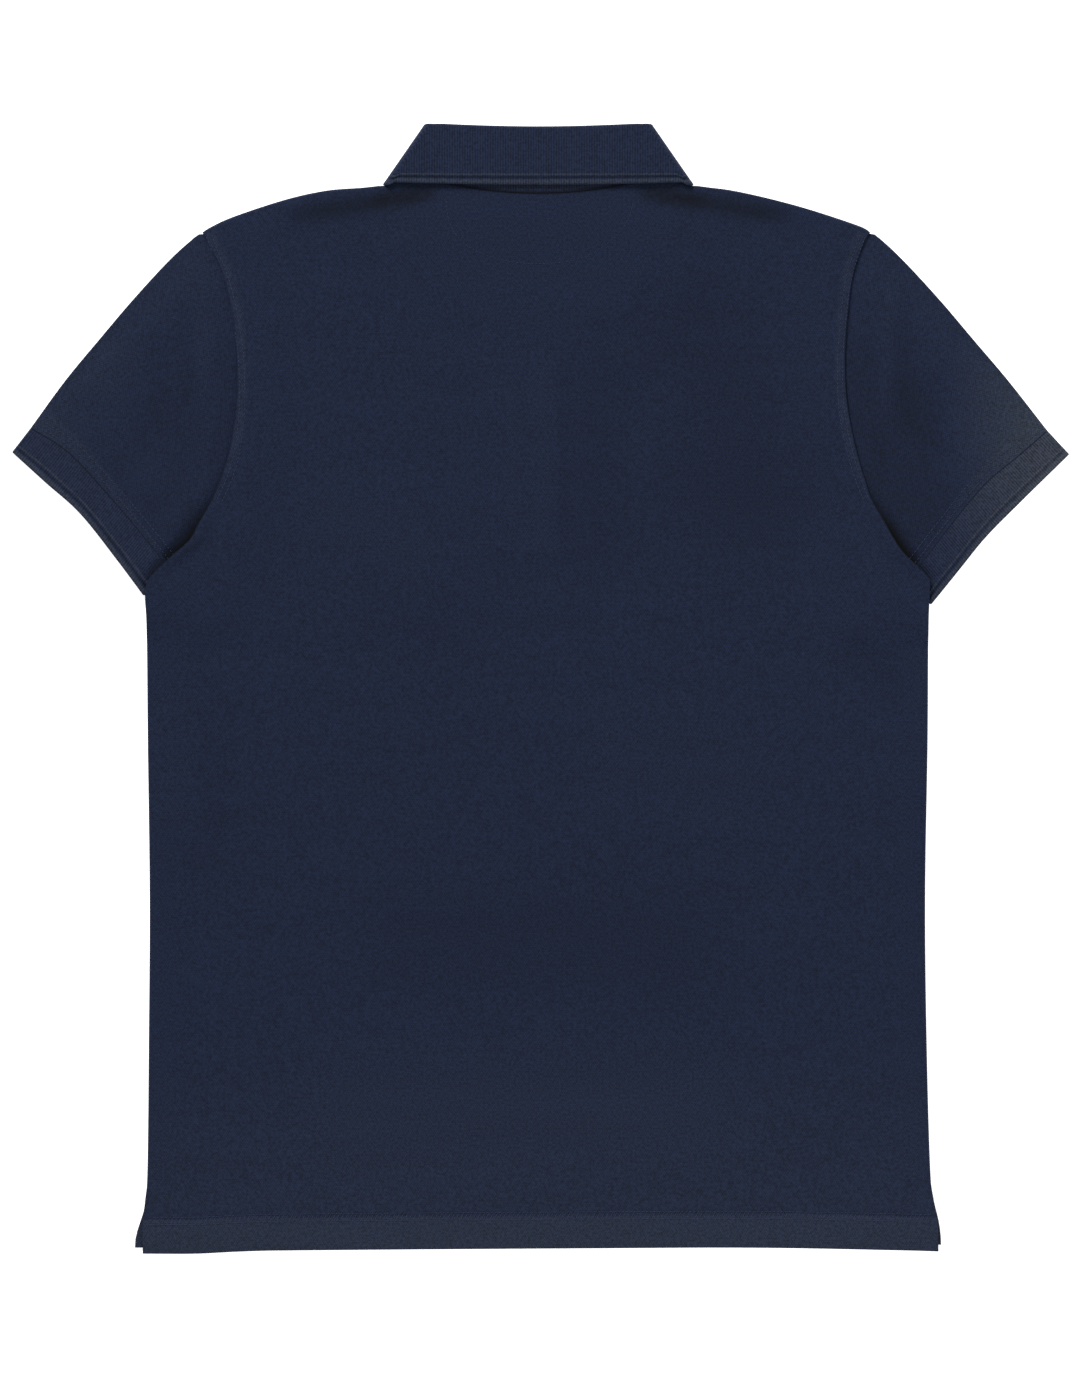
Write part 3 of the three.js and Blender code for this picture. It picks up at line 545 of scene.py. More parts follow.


def crease_sum(table, x, y, shaded=False):
    """All the creases of a table, added up: their height over the plain cloth, or their shade."""
    total = np.zeros(np.shape(x))
    for (x1, y1), (x2, y2), width, height, *shade in table:
        length = math.hypot(x2 - x1, y2 - y1)
        along = ((x - x1) * (x2 - x1) + (y - y1) * (y2 - y1)) / length**2
        off = ((x - x1) * (y2 - y1) - (y - y1) * (x2 - x1)) / length
        ends = smooth(along / END_SHARE) * smooth((1 - along) / END_SHARE)
        total += (sum(shade) if shaded else height) * ends * np.exp(-((off / width) ** 2))
    return total


# %% [markdown]
# ## A wall through a grid
#
# Every cloth piece is made the same way. A grid of points runs through the middle of the
# cloth, and the two faces lie half the thickness to each side. The grid's own columns and
# rows become the UV map, in metres of flat cloth, so a knit pattern follows the piece as
# it does on the real one. A small bevel rounds the cut edges, as knit edges are soft.

# %% Wall function
EDGE_ANGLE = math.radians(50)


def neighbours(values, axis, ring):
    """The next value minus the one before, along an axis."""
    if ring:
        return np.roll(values, -1, axis) - np.roll(values, 1, axis)
    ends = [(0, 0)] * values.ndim
    ends[axis] = (1, 1)
    wide = np.pad(values, ends, mode="edge")
    count = values.shape[axis]
    return wide.take(range(2, count + 2), axis) - wide.take(range(count), axis)


def wall(name, at, half, uv, raised=0.0, facing=None, ring=False, kept=None, outer=1, tone=0.0):
    """A cloth piece as a new object, from the middle points of its cloth in millimetres.
    tone says where it is paler, above 0, or darker."""
    rows, columns = at.shape[:2]
    normal = np.cross(neighbours(at, 1, ring), neighbours(at, 0, False))
    normal /= np.linalg.norm(normal, axis=2)[..., None]
    if facing is not None:
        normal = np.where(np.isnan(facing), normal, facing)
    raised = np.broadcast_to(raised, (rows, columns))
    half = np.broadcast_to(half, (rows, columns))
    up = half + (raised if outer > 0 else 0)
    down = half + (raised if outer < 0 else 0)
    points = np.concatenate([at + normal * up[..., None], at - normal * down[..., None]])
    points = points.reshape(-1, 3) * MM

    cells = columns if ring else columns - 1
    kept = np.ones((rows - 1, cells), bool) if kept is None else kept
    wide = np.pad(kept, 1)
    if ring:
        wide[1:-1, 0] = kept[:, -1]
        wide[1:-1, -1] = kept[:, 0]
    open_side = {
        "below": kept & ~wide[:-2, 1:-1],
        "above": kept & ~wide[2:, 1:-1],
        "before": kept & ~wide[1:-1, :-2],
        "after": kept & ~wide[1:-1, 2:],
    }
    corners = []

    def quads(where, *steps):
        i, j = np.nonzero(where)
        corners.append(np.stack([np.stack([0 * i + f, i + a, j + b], 1) for f, a, b in steps], 1))

    quads(kept, (0, 0, 0), (0, 0, 1), (0, 1, 1), (0, 1, 0))
    quads(kept, (1, 0, 0), (1, 1, 0), (1, 1, 1), (1, 0, 1))
    quads(open_side["below"], (1, 0, 0), (1, 0, 1), (0, 0, 1), (0, 0, 0))
    quads(open_side["above"], (0, 1, 0), (0, 1, 1), (1, 1, 1), (1, 1, 0))
    quads(open_side["before"], (0, 0, 0), (0, 1, 0), (1, 1, 0), (1, 0, 0))
    quads(open_side["after"], (1, 0, 1), (1, 1, 1), (0, 1, 1), (0, 0, 1))
    corners = np.concatenate(corners)
    face, i, j = corners[..., 0], corners[..., 1], corners[..., 2]
    index = face * rows * columns + i * columns + j % columns
    used, index = np.unique(index, return_inverse=True)
    index = index.reshape(-1, 4)

    mesh = bpy.data.meshes.new(name)
    mesh.from_pydata(points[used].tolist(), [], index.tolist())
    layer = mesh.uv_layers.new(name="cloth")
    layer.data.foreach_set("uv", (uv[i, j] * MM).reshape(-1).astype(np.float32))
    tone = np.broadcast_to(tone, (rows, columns)).reshape(-1)
    paler = mesh.attributes.new("tone", "FLOAT", "POINT")
    paler.data.foreach_set("value", np.tile(tone, 2)[used].astype(np.float32))
    piece = bpy.data.objects.new(name, mesh)
    bpy.context.scene.collection.objects.link(piece)
    return piece


def only(piece):
    """Makes one object the selected and active one."""
    bpy.ops.object.select_all(action="DESELECT")
    piece.select_set(True)
    bpy.context.view_layer.objects.active = piece


def soften_edges(piece, width, segments=2):
    """Rounds a piece's cut edges and shades the rest smooth."""
    only(piece)
    bevel = piece.modifiers.new("soft cut edge", "BEVEL")
    bevel.width = width * MM
    bevel.segments = segments
    bevel.limit_method = "ANGLE"
    bevel.angle_limit = EDGE_ANGLE
    bpy.ops.object.modifier_apply(modifier=bevel.name)
    bpy.ops.object.shade_smooth_by_angle(angle=EDGE_ANGLE)


def finish_piece(piece, node, material):
    """Puts the piece in a node's place, with its finish."""
    piece.data.materials.append(material)
    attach(piece, "root")
    if node:
        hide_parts(node)
    low, high = np.array(piece.bound_box).min(0), np.array(piece.bound_box).max(0)
    size = [round(float(v) * 1000, 1) for v in high - low]
    print(piece.name, "is", size, "mm with", len(piece.data.polygons), "faces")


def cloth_area(piece):
    """Area of one face of the cloth, in square metres."""
    return sum(p.area for p in piece.data.polygons) / 2


# %% [markdown]
# ## The cloth's finishes
#
# Pique is a knit whose tuck stitches make small raised cells, a little over a millimetre
# apart, in offset columns. Up close it is a waffle, and from a step away a fine grain.
# Two crossed waves give the cells, and two noises give the yarn's small differences in
# depth of dye and the slow cloudiness that washed cotton has. Cotton fuzz lightens it where
# the cloth turns away from the eye, so the sheen is on, but low. The real cells are a little
# smaller, and are drawn just coarse enough to show in the render.

# %% What both knits share
SHEEN_TINT = linear("#9AA3BC")
PALE_WEAR_AND_LIGHT_TINT = (0.95, 0.6, 0.18)  # what a paler place gains in red, green and blue
WAVE_UNIT = 0.31  # a wave texture of this scale has one band to a metre


def toned(tree, colour):
    """The colour, paler or darker as the tone attribute says: wear and painted highlights make it
    paler, painted shade darker.
    """
    tone = add(tree, "ShaderNodeAttribute", attribute_name="tone").outputs["Fac"]
    # tone above 0 is wear and painted highlight, tone below 0 is painted shade
    pale_wear_and_light = add(tree, "ShaderNodeMath", {0: tone, 1: 0.0}, operation="MAXIMUM").outputs[0]
    deep = add(tree, "ShaderNodeMath", {0: tone, 1: 1.0}, operation="ADD", use_clamp=True)
    inputs = {0: PALE_WEAR_AND_LIGHT_TINT, "Scale": pale_wear_and_light}
    tint = add(tree, "ShaderNodeVectorMath", inputs, operation="SCALE").outputs["Vector"]
    inputs = {0: tint, 1: deep.outputs["Value"]}
    gain = add(tree, "ShaderNodeVectorMath", inputs, operation="ADD").outputs["Vector"]
    inputs = {0: colour, 1: gain}
    return add(tree, "ShaderNodeVectorMath", inputs, operation="MULTIPLY").outputs["Vector"]


def knit_material(name, roughness, nap):
    """Matt cotton with a low nap. knit_surface completes it."""
    return new_material(name, {
        "Roughness": roughness,
        "Specular IOR Level": 0.18,
        "Sheen Weight": nap,
        "Sheen Roughness": 0.5,
        "Sheen Tint": SHEEN_TINT,
    })


def knit_surface(tree, grain, depth, places, colours, strength, relief):
    """Dyes the knit from dark to light by its depth, and raises its grain by millimetres."""
    ramp = add(tree, "ShaderNodeValToRGB", {"Fac": depth})
    for element, place, colour in zip(ramp.color_ramp.elements, places, colours):
        element.position = place
        element.color = colour
    inputs = {"Height": grain, "Strength": strength, "Distance": relief * MM}
    bump = add(tree, "ShaderNodeBump", inputs)
    shader = tree.nodes["Principled BSDF"]
    tree.links.new(toned(tree, ramp.outputs["Color"]), shader.inputs["Base Color"])
    tree.links.new(bump.outputs["Normal"], shader.inputs["Normal"])


# %% Pique finish
PIQUE_CELL = 1.35  # millimetres from one raised cell to the next
PIQUE_LEAN = math.radians(32)  # of the two diagonals that the cells lie on
PIQUE_YARN = 620.0  # specks of yarn to a metre, about 1.6 mm each
PIQUE_COURSES = (1.0, 8.0, 1.0)  # cloudiness runs along the rows of stitches
PIQUE_COLOURS = linear("#0B111F"), linear("#1C2844")


def pique(name, turn=0.0):
    """Navy cotton pique. turn is the knit's turn in the plane."""
    material = knit_material(name, roughness=0.9, nap=0.14)
    tree = material.node_tree
    place = add(tree, "ShaderNodeTexCoord").outputs["Object"]
    inputs = {"Vector": place, "Rotation": (0, 0, turn)}
    flat = add(tree, "ShaderNodeMapping", inputs).outputs["Vector"]
    waves = []
    for lean in (-PIQUE_LEAN, PIQUE_LEAN):
        leaned = add(tree, "ShaderNodeMapping", {"Vector": flat, "Rotation": (0, 0, lean)})
        inputs = {
            "Vector": leaned.outputs["Vector"],
            "Scale": WAVE_UNIT / (PIQUE_CELL * MM),
            "Distortion": 0.6,
            "Detail": 1.0,
            "Detail Scale": 1.5,
        }
        wave = add(tree, "ShaderNodeTexWave", inputs, bands_direction="X")
        waves.append(wave.outputs["Fac"])
    cells = add(tree, "ShaderNodeMath", {0: waves[0], 1: waves[1]}, operation="MULTIPLY")
    inputs = {"Vector": flat, "Scale": PIQUE_YARN, "Detail": 2.0, "Roughness": 0.6}
    yarn = add(tree, "ShaderNodeTexNoise", inputs)
    courses = add(tree, "ShaderNodeMapping", {"Vector": flat, "Scale": PIQUE_COURSES})
    inputs = {"Vector": courses.outputs["Vector"], "Scale": 6.0, "Detail": 4.0, "Roughness": 0.55}
    cloud = add(tree, "ShaderNodeTexNoise", inputs)
    inputs = {"Factor": 0.78, "A": cells.outputs["Value"], "B": yarn.outputs["Fac"]}
    grain = add(tree, "ShaderNodeMix", inputs, data_type="FLOAT").outputs["Result"]
    inputs = {"Factor": 0.08, "A": grain, "B": cloud.outputs["Fac"]}
    depth = add(tree, "ShaderNodeMix", inputs, data_type="FLOAT").outputs["Result"]
    knit_surface(tree, grain, depth, (0.25, 0.68), PIQUE_COLOURS, strength=0.35, relief=0.4)
    return material


SLEEVE_TURN = math.radians(40)  # a laid-out sleeve's knit is turned with the sleeve
body_pique = pique("navy cotton pique")
sleeve_pique = {
    "left": pique("navy cotton pique, left sleeve", -SLEEVE_TURN),
    "right": pique("navy cotton pique, right sleeve", SLEEVE_TURN),
}
print("the pique's cells are", PIQUE_CELL, "mm apart")

# %% [markdown]
# Flat-knitted rib has fine wales, ridges that run across the collar and cuffs from the seam
# to the edge. The wales are 1.7 mm apart. They follow the piece round, so this finish reads
# the UV map, whose first direction runs along the band.

# %% Rib finish
WALE = 1.7  # millimetres from one rib to the next
RIB_YARN = 700.0  # specks of yarn to a metre
RIB_COLOURS = linear("#0D1424"), linear("#1D2740")

navy_rib = knit_material("navy cotton rib", roughness=0.92, nap=0.16)
rib_tree = navy_rib.node_tree
rib_uv = add(rib_tree, "ShaderNodeUVMap", uv_map="cloth").outputs["UV"]
rib_place = add(rib_tree, "ShaderNodeTexCoord").outputs["Object"]
inputs = {"Vector": rib_uv, "Scale": WAVE_UNIT / (WALE * MM), "Distortion": 0.25, "Detail": 1.0}
wales = add(rib_tree, "ShaderNodeTexWave", inputs, bands_direction="X")
inputs = {"Vector": rib_place, "Scale": RIB_YARN, "Detail": 2.0, "Roughness": 0.6}
yarn = add(rib_tree, "ShaderNodeTexNoise", inputs)
inputs = {"Factor": 0.78, "A": wales.outputs["Fac"], "B": yarn.outputs["Fac"]}
grain = add(rib_tree, "ShaderNodeMix", inputs, data_type="FLOAT").outputs["Result"]
knit_surface(rib_tree, grain, grain, (0.34, 0.64), RIB_COLOURS, strength=0.45, relief=0.5)
print("the rib's wales are", WALE, "mm apart")

# %% [markdown]
# ## Front and back
#
# A body panel is one piece from hem to shoulder. Its columns keep their distance from the
# side edge and its top rows from the shoulder, so the rolled edges stay an even width. The
# seam allowance of the armhole is pressed towards the body and stitched down, which leaves
# a low raised band beside the seam.

# %% Panel grid
ROUND_STEPS = 5
FLAT_STEPS = (4.5, 5.5, 6.5, 9, 13, 18, 24, 30)
SIDE_MORE_STEPS = (37, 44)
FINE_STEP = 4.2  # millimetres between points across the middle
ALLOWANCE = {"width": 5.6, "fade": 1.6, "height": 0.45, "low": 118, "rise": 40}
SEAM_SINK = {"depth": 0.48, "start": 0.6, "length": 12}  # the armhole edge lies on the sleeve
UNDERARM_FOLD = {"y": 98, "reach": 27, "height": 3.6, "start": 1.5, "length": 13}
ARMHOLE = {"start": 6, "rise": 14, "past_tip": 26}  # from the underarm to past the sleeve's tip
BETWEEN_STEP = 5.2  # millimetres between columns beside the neck
PANEL_WEAR_AND_PAINTED_LIGHT = {
    "band": 0.5,  # paler with the height of the pressed seam allowance's raised band
    # painted light: the hem is painted paler
    "hem": 0.75,
    "low": 0.36,  # painted light, paler towards the bottom of the shirt
    "hem_seam": 0.1,  # under the stitches
    # painted shade in the grooves of the armhole seam and the neck seam
    "armhole": -0.8,
    "neck": -0.6,
}
LOW_LENGTH = 150  # how far up from the hem the painted light reaches
HEM_SEAM = {"above": 0.3, "half_width": 2.0, "fade": 0.8}
ARMHOLE_LINE = (0.2, 0.9)  # where the painted shade beside the seam starts to fade, and over what
# where the painted shade below the neck seam starts to fade, and over what
NECK_LINE = (0.3, 1.2)
HEM_STEPS = (0, 6, 12, 17, 19, 20, HEM_DEPTH, HEM_DEPTH + 1.2, HEM_DEPTH + 2.4, HEM_DEPTH + 3.4)

# %% Steps and levels near a rolled edge


def edge_steps(flats):
    """Distances from a rolled edge: round its turn, then over the flat."""
    turns = np.linspace(0, math.pi / 2, ROUND_STEPS)
    ends = np.linspace(0, CLOTH / 2 + ROLL, ROUND_STEPS)
    return [(turn, flat) for turn, flat in zip(turns, ends)] + [(None, f) for f in flats]


def inset(step, roll):
    turn, flat = step
    return flat if turn is None else lerp(flat, CLOTH / 2 + ROLL * (1 - math.cos(turn)), roll)


def evenly_between(values, step):
    """The values, with more between them where they lie further apart than a step."""
    out = []
    for a, b in zip(values, values[1:]):
        out += list(np.linspace(a, b, max(1, round(abs(b - a) / step)) + 1)[:-1])
    return out + [values[-1]]


def edge_level(x, y, face, distance, turn, roll):
    """Level near an edge that is rolled by a share. face is 1 for the back, -1 for the front."""
    front = front_level(x, y)
    back = back_level(x, y)
    crest = np.maximum(back, front + ROLL_HEIGHT)
    centre = (front + crest) / 2
    far = crest if face > 0 else front
    if turn is None:
        settled = fade(distance, CLOTH / 2 + ROLL, ROLL_FADE)
        rolled = lerp(back, crest, settled) if face > 0 else front
    else:
        near = centre + face * SEWN / 2
        rolled = near + (far - near) * math.sin(turn)
    return lerp(back if face > 0 else front, rolled, roll)

# %% A body panel


def body_panel(name, face, inner, creases):
    """A body panel as a wall. inner holds the columns across its middle."""
    hem_column = "back" if face > 0 else "front"
    top_of = back_top_y if face > 0 else front_top_y
    settled = FLAT_STEPS[-1]
    tip_y = SHOULDER["y"][0] - settled
    hem0 = float(table_at(HEM_LINE, "x", hem_column, SIDE["left"][0]))
    side_steps = edge_steps((*FLAT_STEPS, *SIDE_MORE_STEPS))
    top_steps = edge_steps(FLAT_STEPS)
    length = tip_y - hem0
    shares = [h / length for h in HEM_STEPS]
    shares += list(np.linspace(shares[-1], 1, round(length / FINE_STEP))[1:])
    if face < 0:
        slit_x = (PLACKET["left"] + PLACKET["right"]) / 2
        slit_hem = float(table_at(HEM_LINE, "x", hem_column, slit_x))
        slit_top = float(top_of(slit_x)) - settled
        slit_share = (PLACKET["bottom"] - slit_hem) / (slit_top - slit_hem)
        nearest = int(np.argmin(np.abs(np.array(shares) - slit_share)))
        shares[nearest] = slit_share
    rows = [(share, None) for share in shares] + [(1.0, s) for s in top_steps[-2::-1]]
    side_y = np.array([
        lerp(hem0, tip_y, share) if step is None else SHOULDER["y"][0] - inset(step, 1)
        for share, step in rows
    ])
    vent = smooth((FRONT_VENT["top"] - side_y) / FRONT_VENT["length"]) if face < 0 else 0
    edges = {
        "left": side_x(side_y, "left") - FRONT_VENT["left"] * vent,
        "right": side_x(side_y, "right") + FRONT_VENT["right"] * vent,
    }
    rolls = side_roll(side_y)
    between = round((abs(edges["left"].min()) - side_steps[-1][1] - abs(inner[0])) / BETWEEN_STEP)

    def side_columns(side, inward):
        near = [edges[side] + inward * inset(step, rolls if step[0] is not None else 0)
                for step in side_steps]
        start, end = near[-1], inner[0] if side == "left" else inner[-1]
        middle = [lerp(start, end, (k + 1) / (between + 1)) for k in range(between)]
        kinds = [(side, step) for step in side_steps] + [(None, None)] * between
        return near + middle, kinds

    left, left_kinds = side_columns("left", 1)
    right, right_kinds = side_columns("right", -1)
    x = np.stack([*left, *(np.full(len(rows), v) for v in inner), *right[::-1]], axis=1)
    kinds = left_kinds + [(None, None)] * len(inner) + right_kinds[::-1]
    top = top_of(x)
    seam = from_neck_centre(x) < 1
    top_roll = np.where(seam, 0.0, 1.0)
    hem = table_at(HEM_LINE, "x", hem_column, x)
    y = np.empty_like(x)
    z = np.empty_like(x)
    facing = np.full((*x.shape, 3), np.nan)
    from_side = np.full(x.shape, np.inf)
    for i, (share, step) in enumerate(rows):
        if step is None:
            y[i] = lerp(hem[i], top[i] - settled, share)
            continue
        from_top = inset(step, top_roll[i])
        y[i] = top[i] - from_top
        z[i] = edge_level(x[i], y[i], face, from_top, step[0], top_roll[i])
        if step[0] == 0:
            facing[i] = np.where(top_roll[i][:, None] > 0, (0, face, 0), np.nan)
    flat_rows = sum(step is None for _, step in rows)
    for j, (side, step) in enumerate(kinds):
        part = slice(0, flat_rows)
        roll = rolls[part] if side else 0
        turn, distance = step if side else (None, ROLL_FADE + 2)
        z[part, j] = edge_level(x[part, j], y[part, j], face, distance, turn, roll)
        if side:
            from_side[:, j] = distance
        if side and turn == 0:
            out = face * (-1 if side == "left" else 1)
            turned = np.stack([out * rolls[part], 0 * rolls[part], 1 - rolls[part]], axis=1)
            turned /= np.linalg.norm(turned, axis=1)[:, None]
            facing[part, j] = np.where(rolls[part, None] > 0, turned, np.nan)
    armhole = smooth((side_y - UNDERARM_Y - ARMHOLE["start"]) / ARMHOLE["rise"])[:, None]
    armhole = armhole * (side_y < tip_y + ARMHOLE["past_tip"])[:, None]
    pressed = smooth((side_y - ALLOWANCE["low"]) / ALLOWANCE["rise"])[:, None] * armhole
    band = pressed * ALLOWANCE["height"] * fade(from_side, ALLOWANCE["width"], ALLOWANCE["fade"])
    hem_share = fade(y - hem, HEM_DEPTH, 1)
    thickness = lerp(CLOTH, HEM, hem_share)
    z += (thickness - CLOTH) / 2 * (3 if face > 0 else 1)
    off_seam = np.abs(y - hem - HEM_DEPTH - HEM_SEAM["above"])
    # painted light, paler at the hem and towards it
    tone = hem_share * PANEL_WEAR_AND_PAINTED_LIGHT["hem"]
    tone += fade(y - hem, HEM_DEPTH, LOW_LENGTH) * PANEL_WEAR_AND_PAINTED_LIGHT["low"]
    tone += fade(off_seam, HEM_SEAM["half_width"], HEM_SEAM["fade"]) * PANEL_WEAR_AND_PAINTED_LIGHT["hem_seam"]
    tone += band / ALLOWANCE["height"] * PANEL_WEAR_AND_PAINTED_LIGHT["band"]
    if face > 0:
        sunk = armhole * fade(from_side, SEAM_SINK["start"], SEAM_SINK["length"])
        off_centre = (y - UNDERARM_FOLD["y"]) / UNDERARM_FOLD["reach"]
        puffed = UNDERARM_FOLD["height"] * np.exp(-(off_centre**2))
        puffed *= fade(from_side, UNDERARM_FOLD["start"], UNDERARM_FOLD["length"])
        folds = crease_sum(creases, x, y)
        z += folds + band - SEAM_SINK["depth"] * sunk + puffed
        # painted highlight on the crease crests, painted shade in their troughs
        tone += folds * CREASE_PAINTED_LIGHT + crease_sum(creases, x, y, shaded=True)
        # painted shade in the armhole seam's groove and along the neck seam
        tone += sunk * fade(from_side, *ARMHOLE_LINE) * PANEL_WEAR_AND_PAINTED_LIGHT["armhole"]
        tone += PANEL_WEAR_AND_PAINTED_LIGHT["neck"] * seam * fade(top - y, *NECK_LINE)
    else:
        z += np.abs(crease_sum(creases, x, y))
    at = np.stack([x, y, z], axis=2)
    kept = None
    if face < 0:
        middle = (x[:-1, :-1] + x[:-1, 1:]) / 2
        in_slit = (middle > PLACKET["left"]) & (middle < PLACKET["right"])
        kept = ~(in_slit & (np.arange(len(rows) - 1)[:, None] >= nearest))
    flat = at[..., :2]
    return wall(name, at, thickness / 2, flat, facing=facing, kept=kept, outer=face, tone=tone)


# %% Columns across the neck
NECK_COLUMNS = evenly_between(
    [-103.5, -98.5, -91.5, -88.6, -88.4, -58, -19.5, PLACKET["left"], PLACKET["left"] + 3,
     PLACKET["right"] - 3, PLACKET["right"], 15, 18, 56, 86.4, 86.6, 89.5, 96.5, 101.5],
    FINE_STEP,
)
print(len(NECK_COLUMNS), "columns across the neck")

# %% Make the back and the front
CUT_EDGE = 0.3  # rounding of a cut edge of pique
RIB_EDGE = 0.45  # and of a rib's edge
back = body_panel("back_cloth", 1, NECK_COLUMNS, BACK_CREASES)
soften_edges(back, CUT_EDGE)
finish_piece(back, "back_panel", body_pique)
front = body_panel("front_cloth", -1, NECK_COLUMNS, FRONT_CREASES)
soften_edges(front, CUT_EDGE)
finish_piece(front, "front_panel", body_pique)
print("areas in square metres:", round(cloth_area(back), 4), round(cloth_area(front), 4))

# %% [markdown]
# ## Sleeves and cuffs
#
# A sleeve is a tube, pressed flat, so it is one closed ring of cloth at each section: the
# upper layer, a fold, the lower layer and the other fold. Its inner end reaches in between
# front and back, where the armhole seam is. The cuff is a rib tube sewn to the sleeve's end.

# %% Flat tubes


def patch(inner, outer, top, bottom):
    """Points between four edges, seen from above, for shares s along and c across."""
    def place(s, c):
        s = np.asarray(s, float)[:, None, None]
        k = np.asarray(c, float)[None, :, None]
        point = inner(c)[None] * (1 - s) + outer(c)[None] * s
        point = point + top(s[:, 0, 0])[:, None] * (1 - k) + bottom(s[:, 0, 0])[:, None] * k
        corner = {(a, b): curve(b) for a, curve in ((0, inner), (1, outer)) for b in (0, 1)}
        point -= (1 - s) * (1 - k) * corner[0, 0] + s * (1 - k) * corner[1, 0]
        return point - (1 - s) * k * corner[0, 1] - s * k * corner[1, 1]
    return place


def straight(start, end):
    return lambda s: lerp(start, end, np.asarray(s, float)[..., None])


def on_body(x, y, side):
    outside = side_x(y, side) - x if side == "left" else x - side_x(y, side)
    return fade(outside, OFF_BODY["margin"], OFF_BODY["length"])


FOLD_TURNS = np.linspace(0, math.pi, 8)[1:-1]
INWARD = 0.08  # share of the width that gives the direction in from a fold
FOLD_SHADE = {"y": 96, "reach": 27, "width": 6, "depth": 0.9}  # deep under the arm
PUFF = {"height": 1.9, "margin": 15}  # a sleeve's upper layer stands off its lower one
PUFF_ENDS = {"along": 0.12, "across": 0.1}  # shares of the sleeve over which that begins
WIDTH_SHARES = {"fold": 0.4, "end": 0.62, "cuff": 0.9}  # how far across each painted pale part reaches
END_START, END_RISE = 0.5, 0.55  # shares of the sleeve's length, towards the cuff, where the painted light starts and rises
# painted shade in the groove of the seam between sleeve and cuff
TUBE_SEAM_PAINTED_SHADE = -0.75
TUBE_PAINTED_LIGHT_AND_SHADE = {  # painted light, paler along the shoulder fold and towards the cuff, the right one most; base is painted shade over the whole tube
    "left": {"base": -0.08, "fold": 0.28, "end": 0.15},
    "right": {"base": -0.21, "fold": 0.35, "end": 2.2},
}


def flat_tube(
    name, side, sections, shares, half, place, rise, raised, tone, creases=(), outer=1, seam_at=1.0
):
    """A tube pressed flat. rise says how far each section has the rib's thickness."""
    stiff = rise(sections)[:, None]

    def levels(xy):
        lower = lerp(CLOTH, RIB, stiff) / 2 + LAYER * on_body(xy[..., 0], xy[..., 1], side)
        return lower, lower + lerp(LAYER, RIB_LAYER, stiff)

    def fold(end, first, last):
        edge = place(sections, np.array([end]))
        inward = place(sections, np.array([abs(end - INWARD)])) - edge
        inward /= np.linalg.norm(inward, axis=2)[..., None]
        lower, upper = levels(edge)
        radius = (upper - lower) / 2
        centre = edge + inward * (radius + half)[..., None]
        angles = lerp(first, last, FOLD_TURNS / math.pi)[None, :]
        xy = centre - inward * (radius * np.cos(angles))[..., None]
        return centre, np.dstack([xy, lower + radius + radius * np.sin(angles)])

    layer = place(sections, shares)
    first_edge, first_fold = fold(0.0, -math.pi / 2, math.pi / 2)
    last_edge, last_fold = fold(1.0, math.pi / 2, -math.pi / 2)
    lower, upper = levels(layer)
    layer[:, 0] = first_edge[:, 0]
    layer[:, -1] = last_edge[:, 0]
    x, y = layer[..., 0], layer[..., 1]
    outside = side_x(y, side) - x if side == "left" else x - side_x(y, side)
    free = smooth((outside - 1) / PUFF["margin"])
    free = free * smooth((1 - sections) / PUFF_ENDS["along"])[:, None]
    off_edge = smooth(shares / PUFF_ENDS["across"]) * smooth((1 - shares) / PUFF_ENDS["across"])
    free = free * off_edge[None, :]
    bend = crease_sum(creases, x, y) + PUFF["height"] * bool(creases)
    top_layer = np.dstack([layer, upper + bend * free])
    low_layer = np.dstack([layer, lower])
    at = np.concatenate([top_layer, last_fold, low_layer[:, ::-1], first_fold], axis=1)
    middle = lerp(lower, upper, 0.5).mean(axis=1)[:, None]
    raised = np.where(at[..., 2] > middle, raised(sections)[:, None], 0)
    closed = np.concatenate([at, at[:, :1]], axis=1)
    around = np.cumsum(np.linalg.norm(np.diff(closed, axis=1), axis=2), axis=1)
    around = np.concatenate([np.zeros((len(sections), 1)), around], axis=1)
    around = np.broadcast_to(around.mean(axis=0), around.shape)
    steps = np.linalg.norm(np.diff(at[:, len(shares) // 2], axis=0), axis=1)
    along = np.concatenate([[0], np.cumsum(steps)])
    uv = np.dstack([around, np.broadcast_to(along[:, None], around.shape)])
    beyond = np.abs(at[..., 0] - side_x(at[..., 1], side))
    deep = np.exp(-((beyond / FOLD_SHADE["width"]) ** 2)) * (at[..., 2] > middle)
    deep *= np.exp(-(((at[..., 1] - FOLD_SHADE["y"]) / FOLD_SHADE["reach"]) ** 2))
    fold_share = np.zeros(len(FOLD_TURNS))
    across = np.concatenate([shares, fold_share + 1, shares[::-1], fold_share])
    tone = tone(sections)[:, None] - FOLD_SHADE["depth"] * deep
    # painted light and shade on the sleeves and cuffs
    shade = TUBE_PAINTED_LIGHT_AND_SHADE[side]
    if creases:
        tone = tone + shade["base"] + shade["fold"] * fade(across, 0, WIDTH_SHARES["fold"])
        pale = fade(across, 0, WIDTH_SHARES["end"])
        tone = tone + shade["end"] * np.outer(smooth((sections - END_START) / END_RISE), pale)
    else:
        tone = tone + shade["end"] * fade(across, 0, WIDTH_SHARES["cuff"])
    tone = np.where((sections == seam_at)[:, None], TUBE_SEAM_PAINTED_SHADE, tone)
    # painted highlight on the sleeve's crease crests, painted shade in its troughs
    tone = tone + crease_sum(creases, at[..., 0], at[..., 1]) * CREASE_PAINTED_LIGHT
    return wall(name, at, half, uv, raised=raised, ring=True, outer=outer, tone=tone)


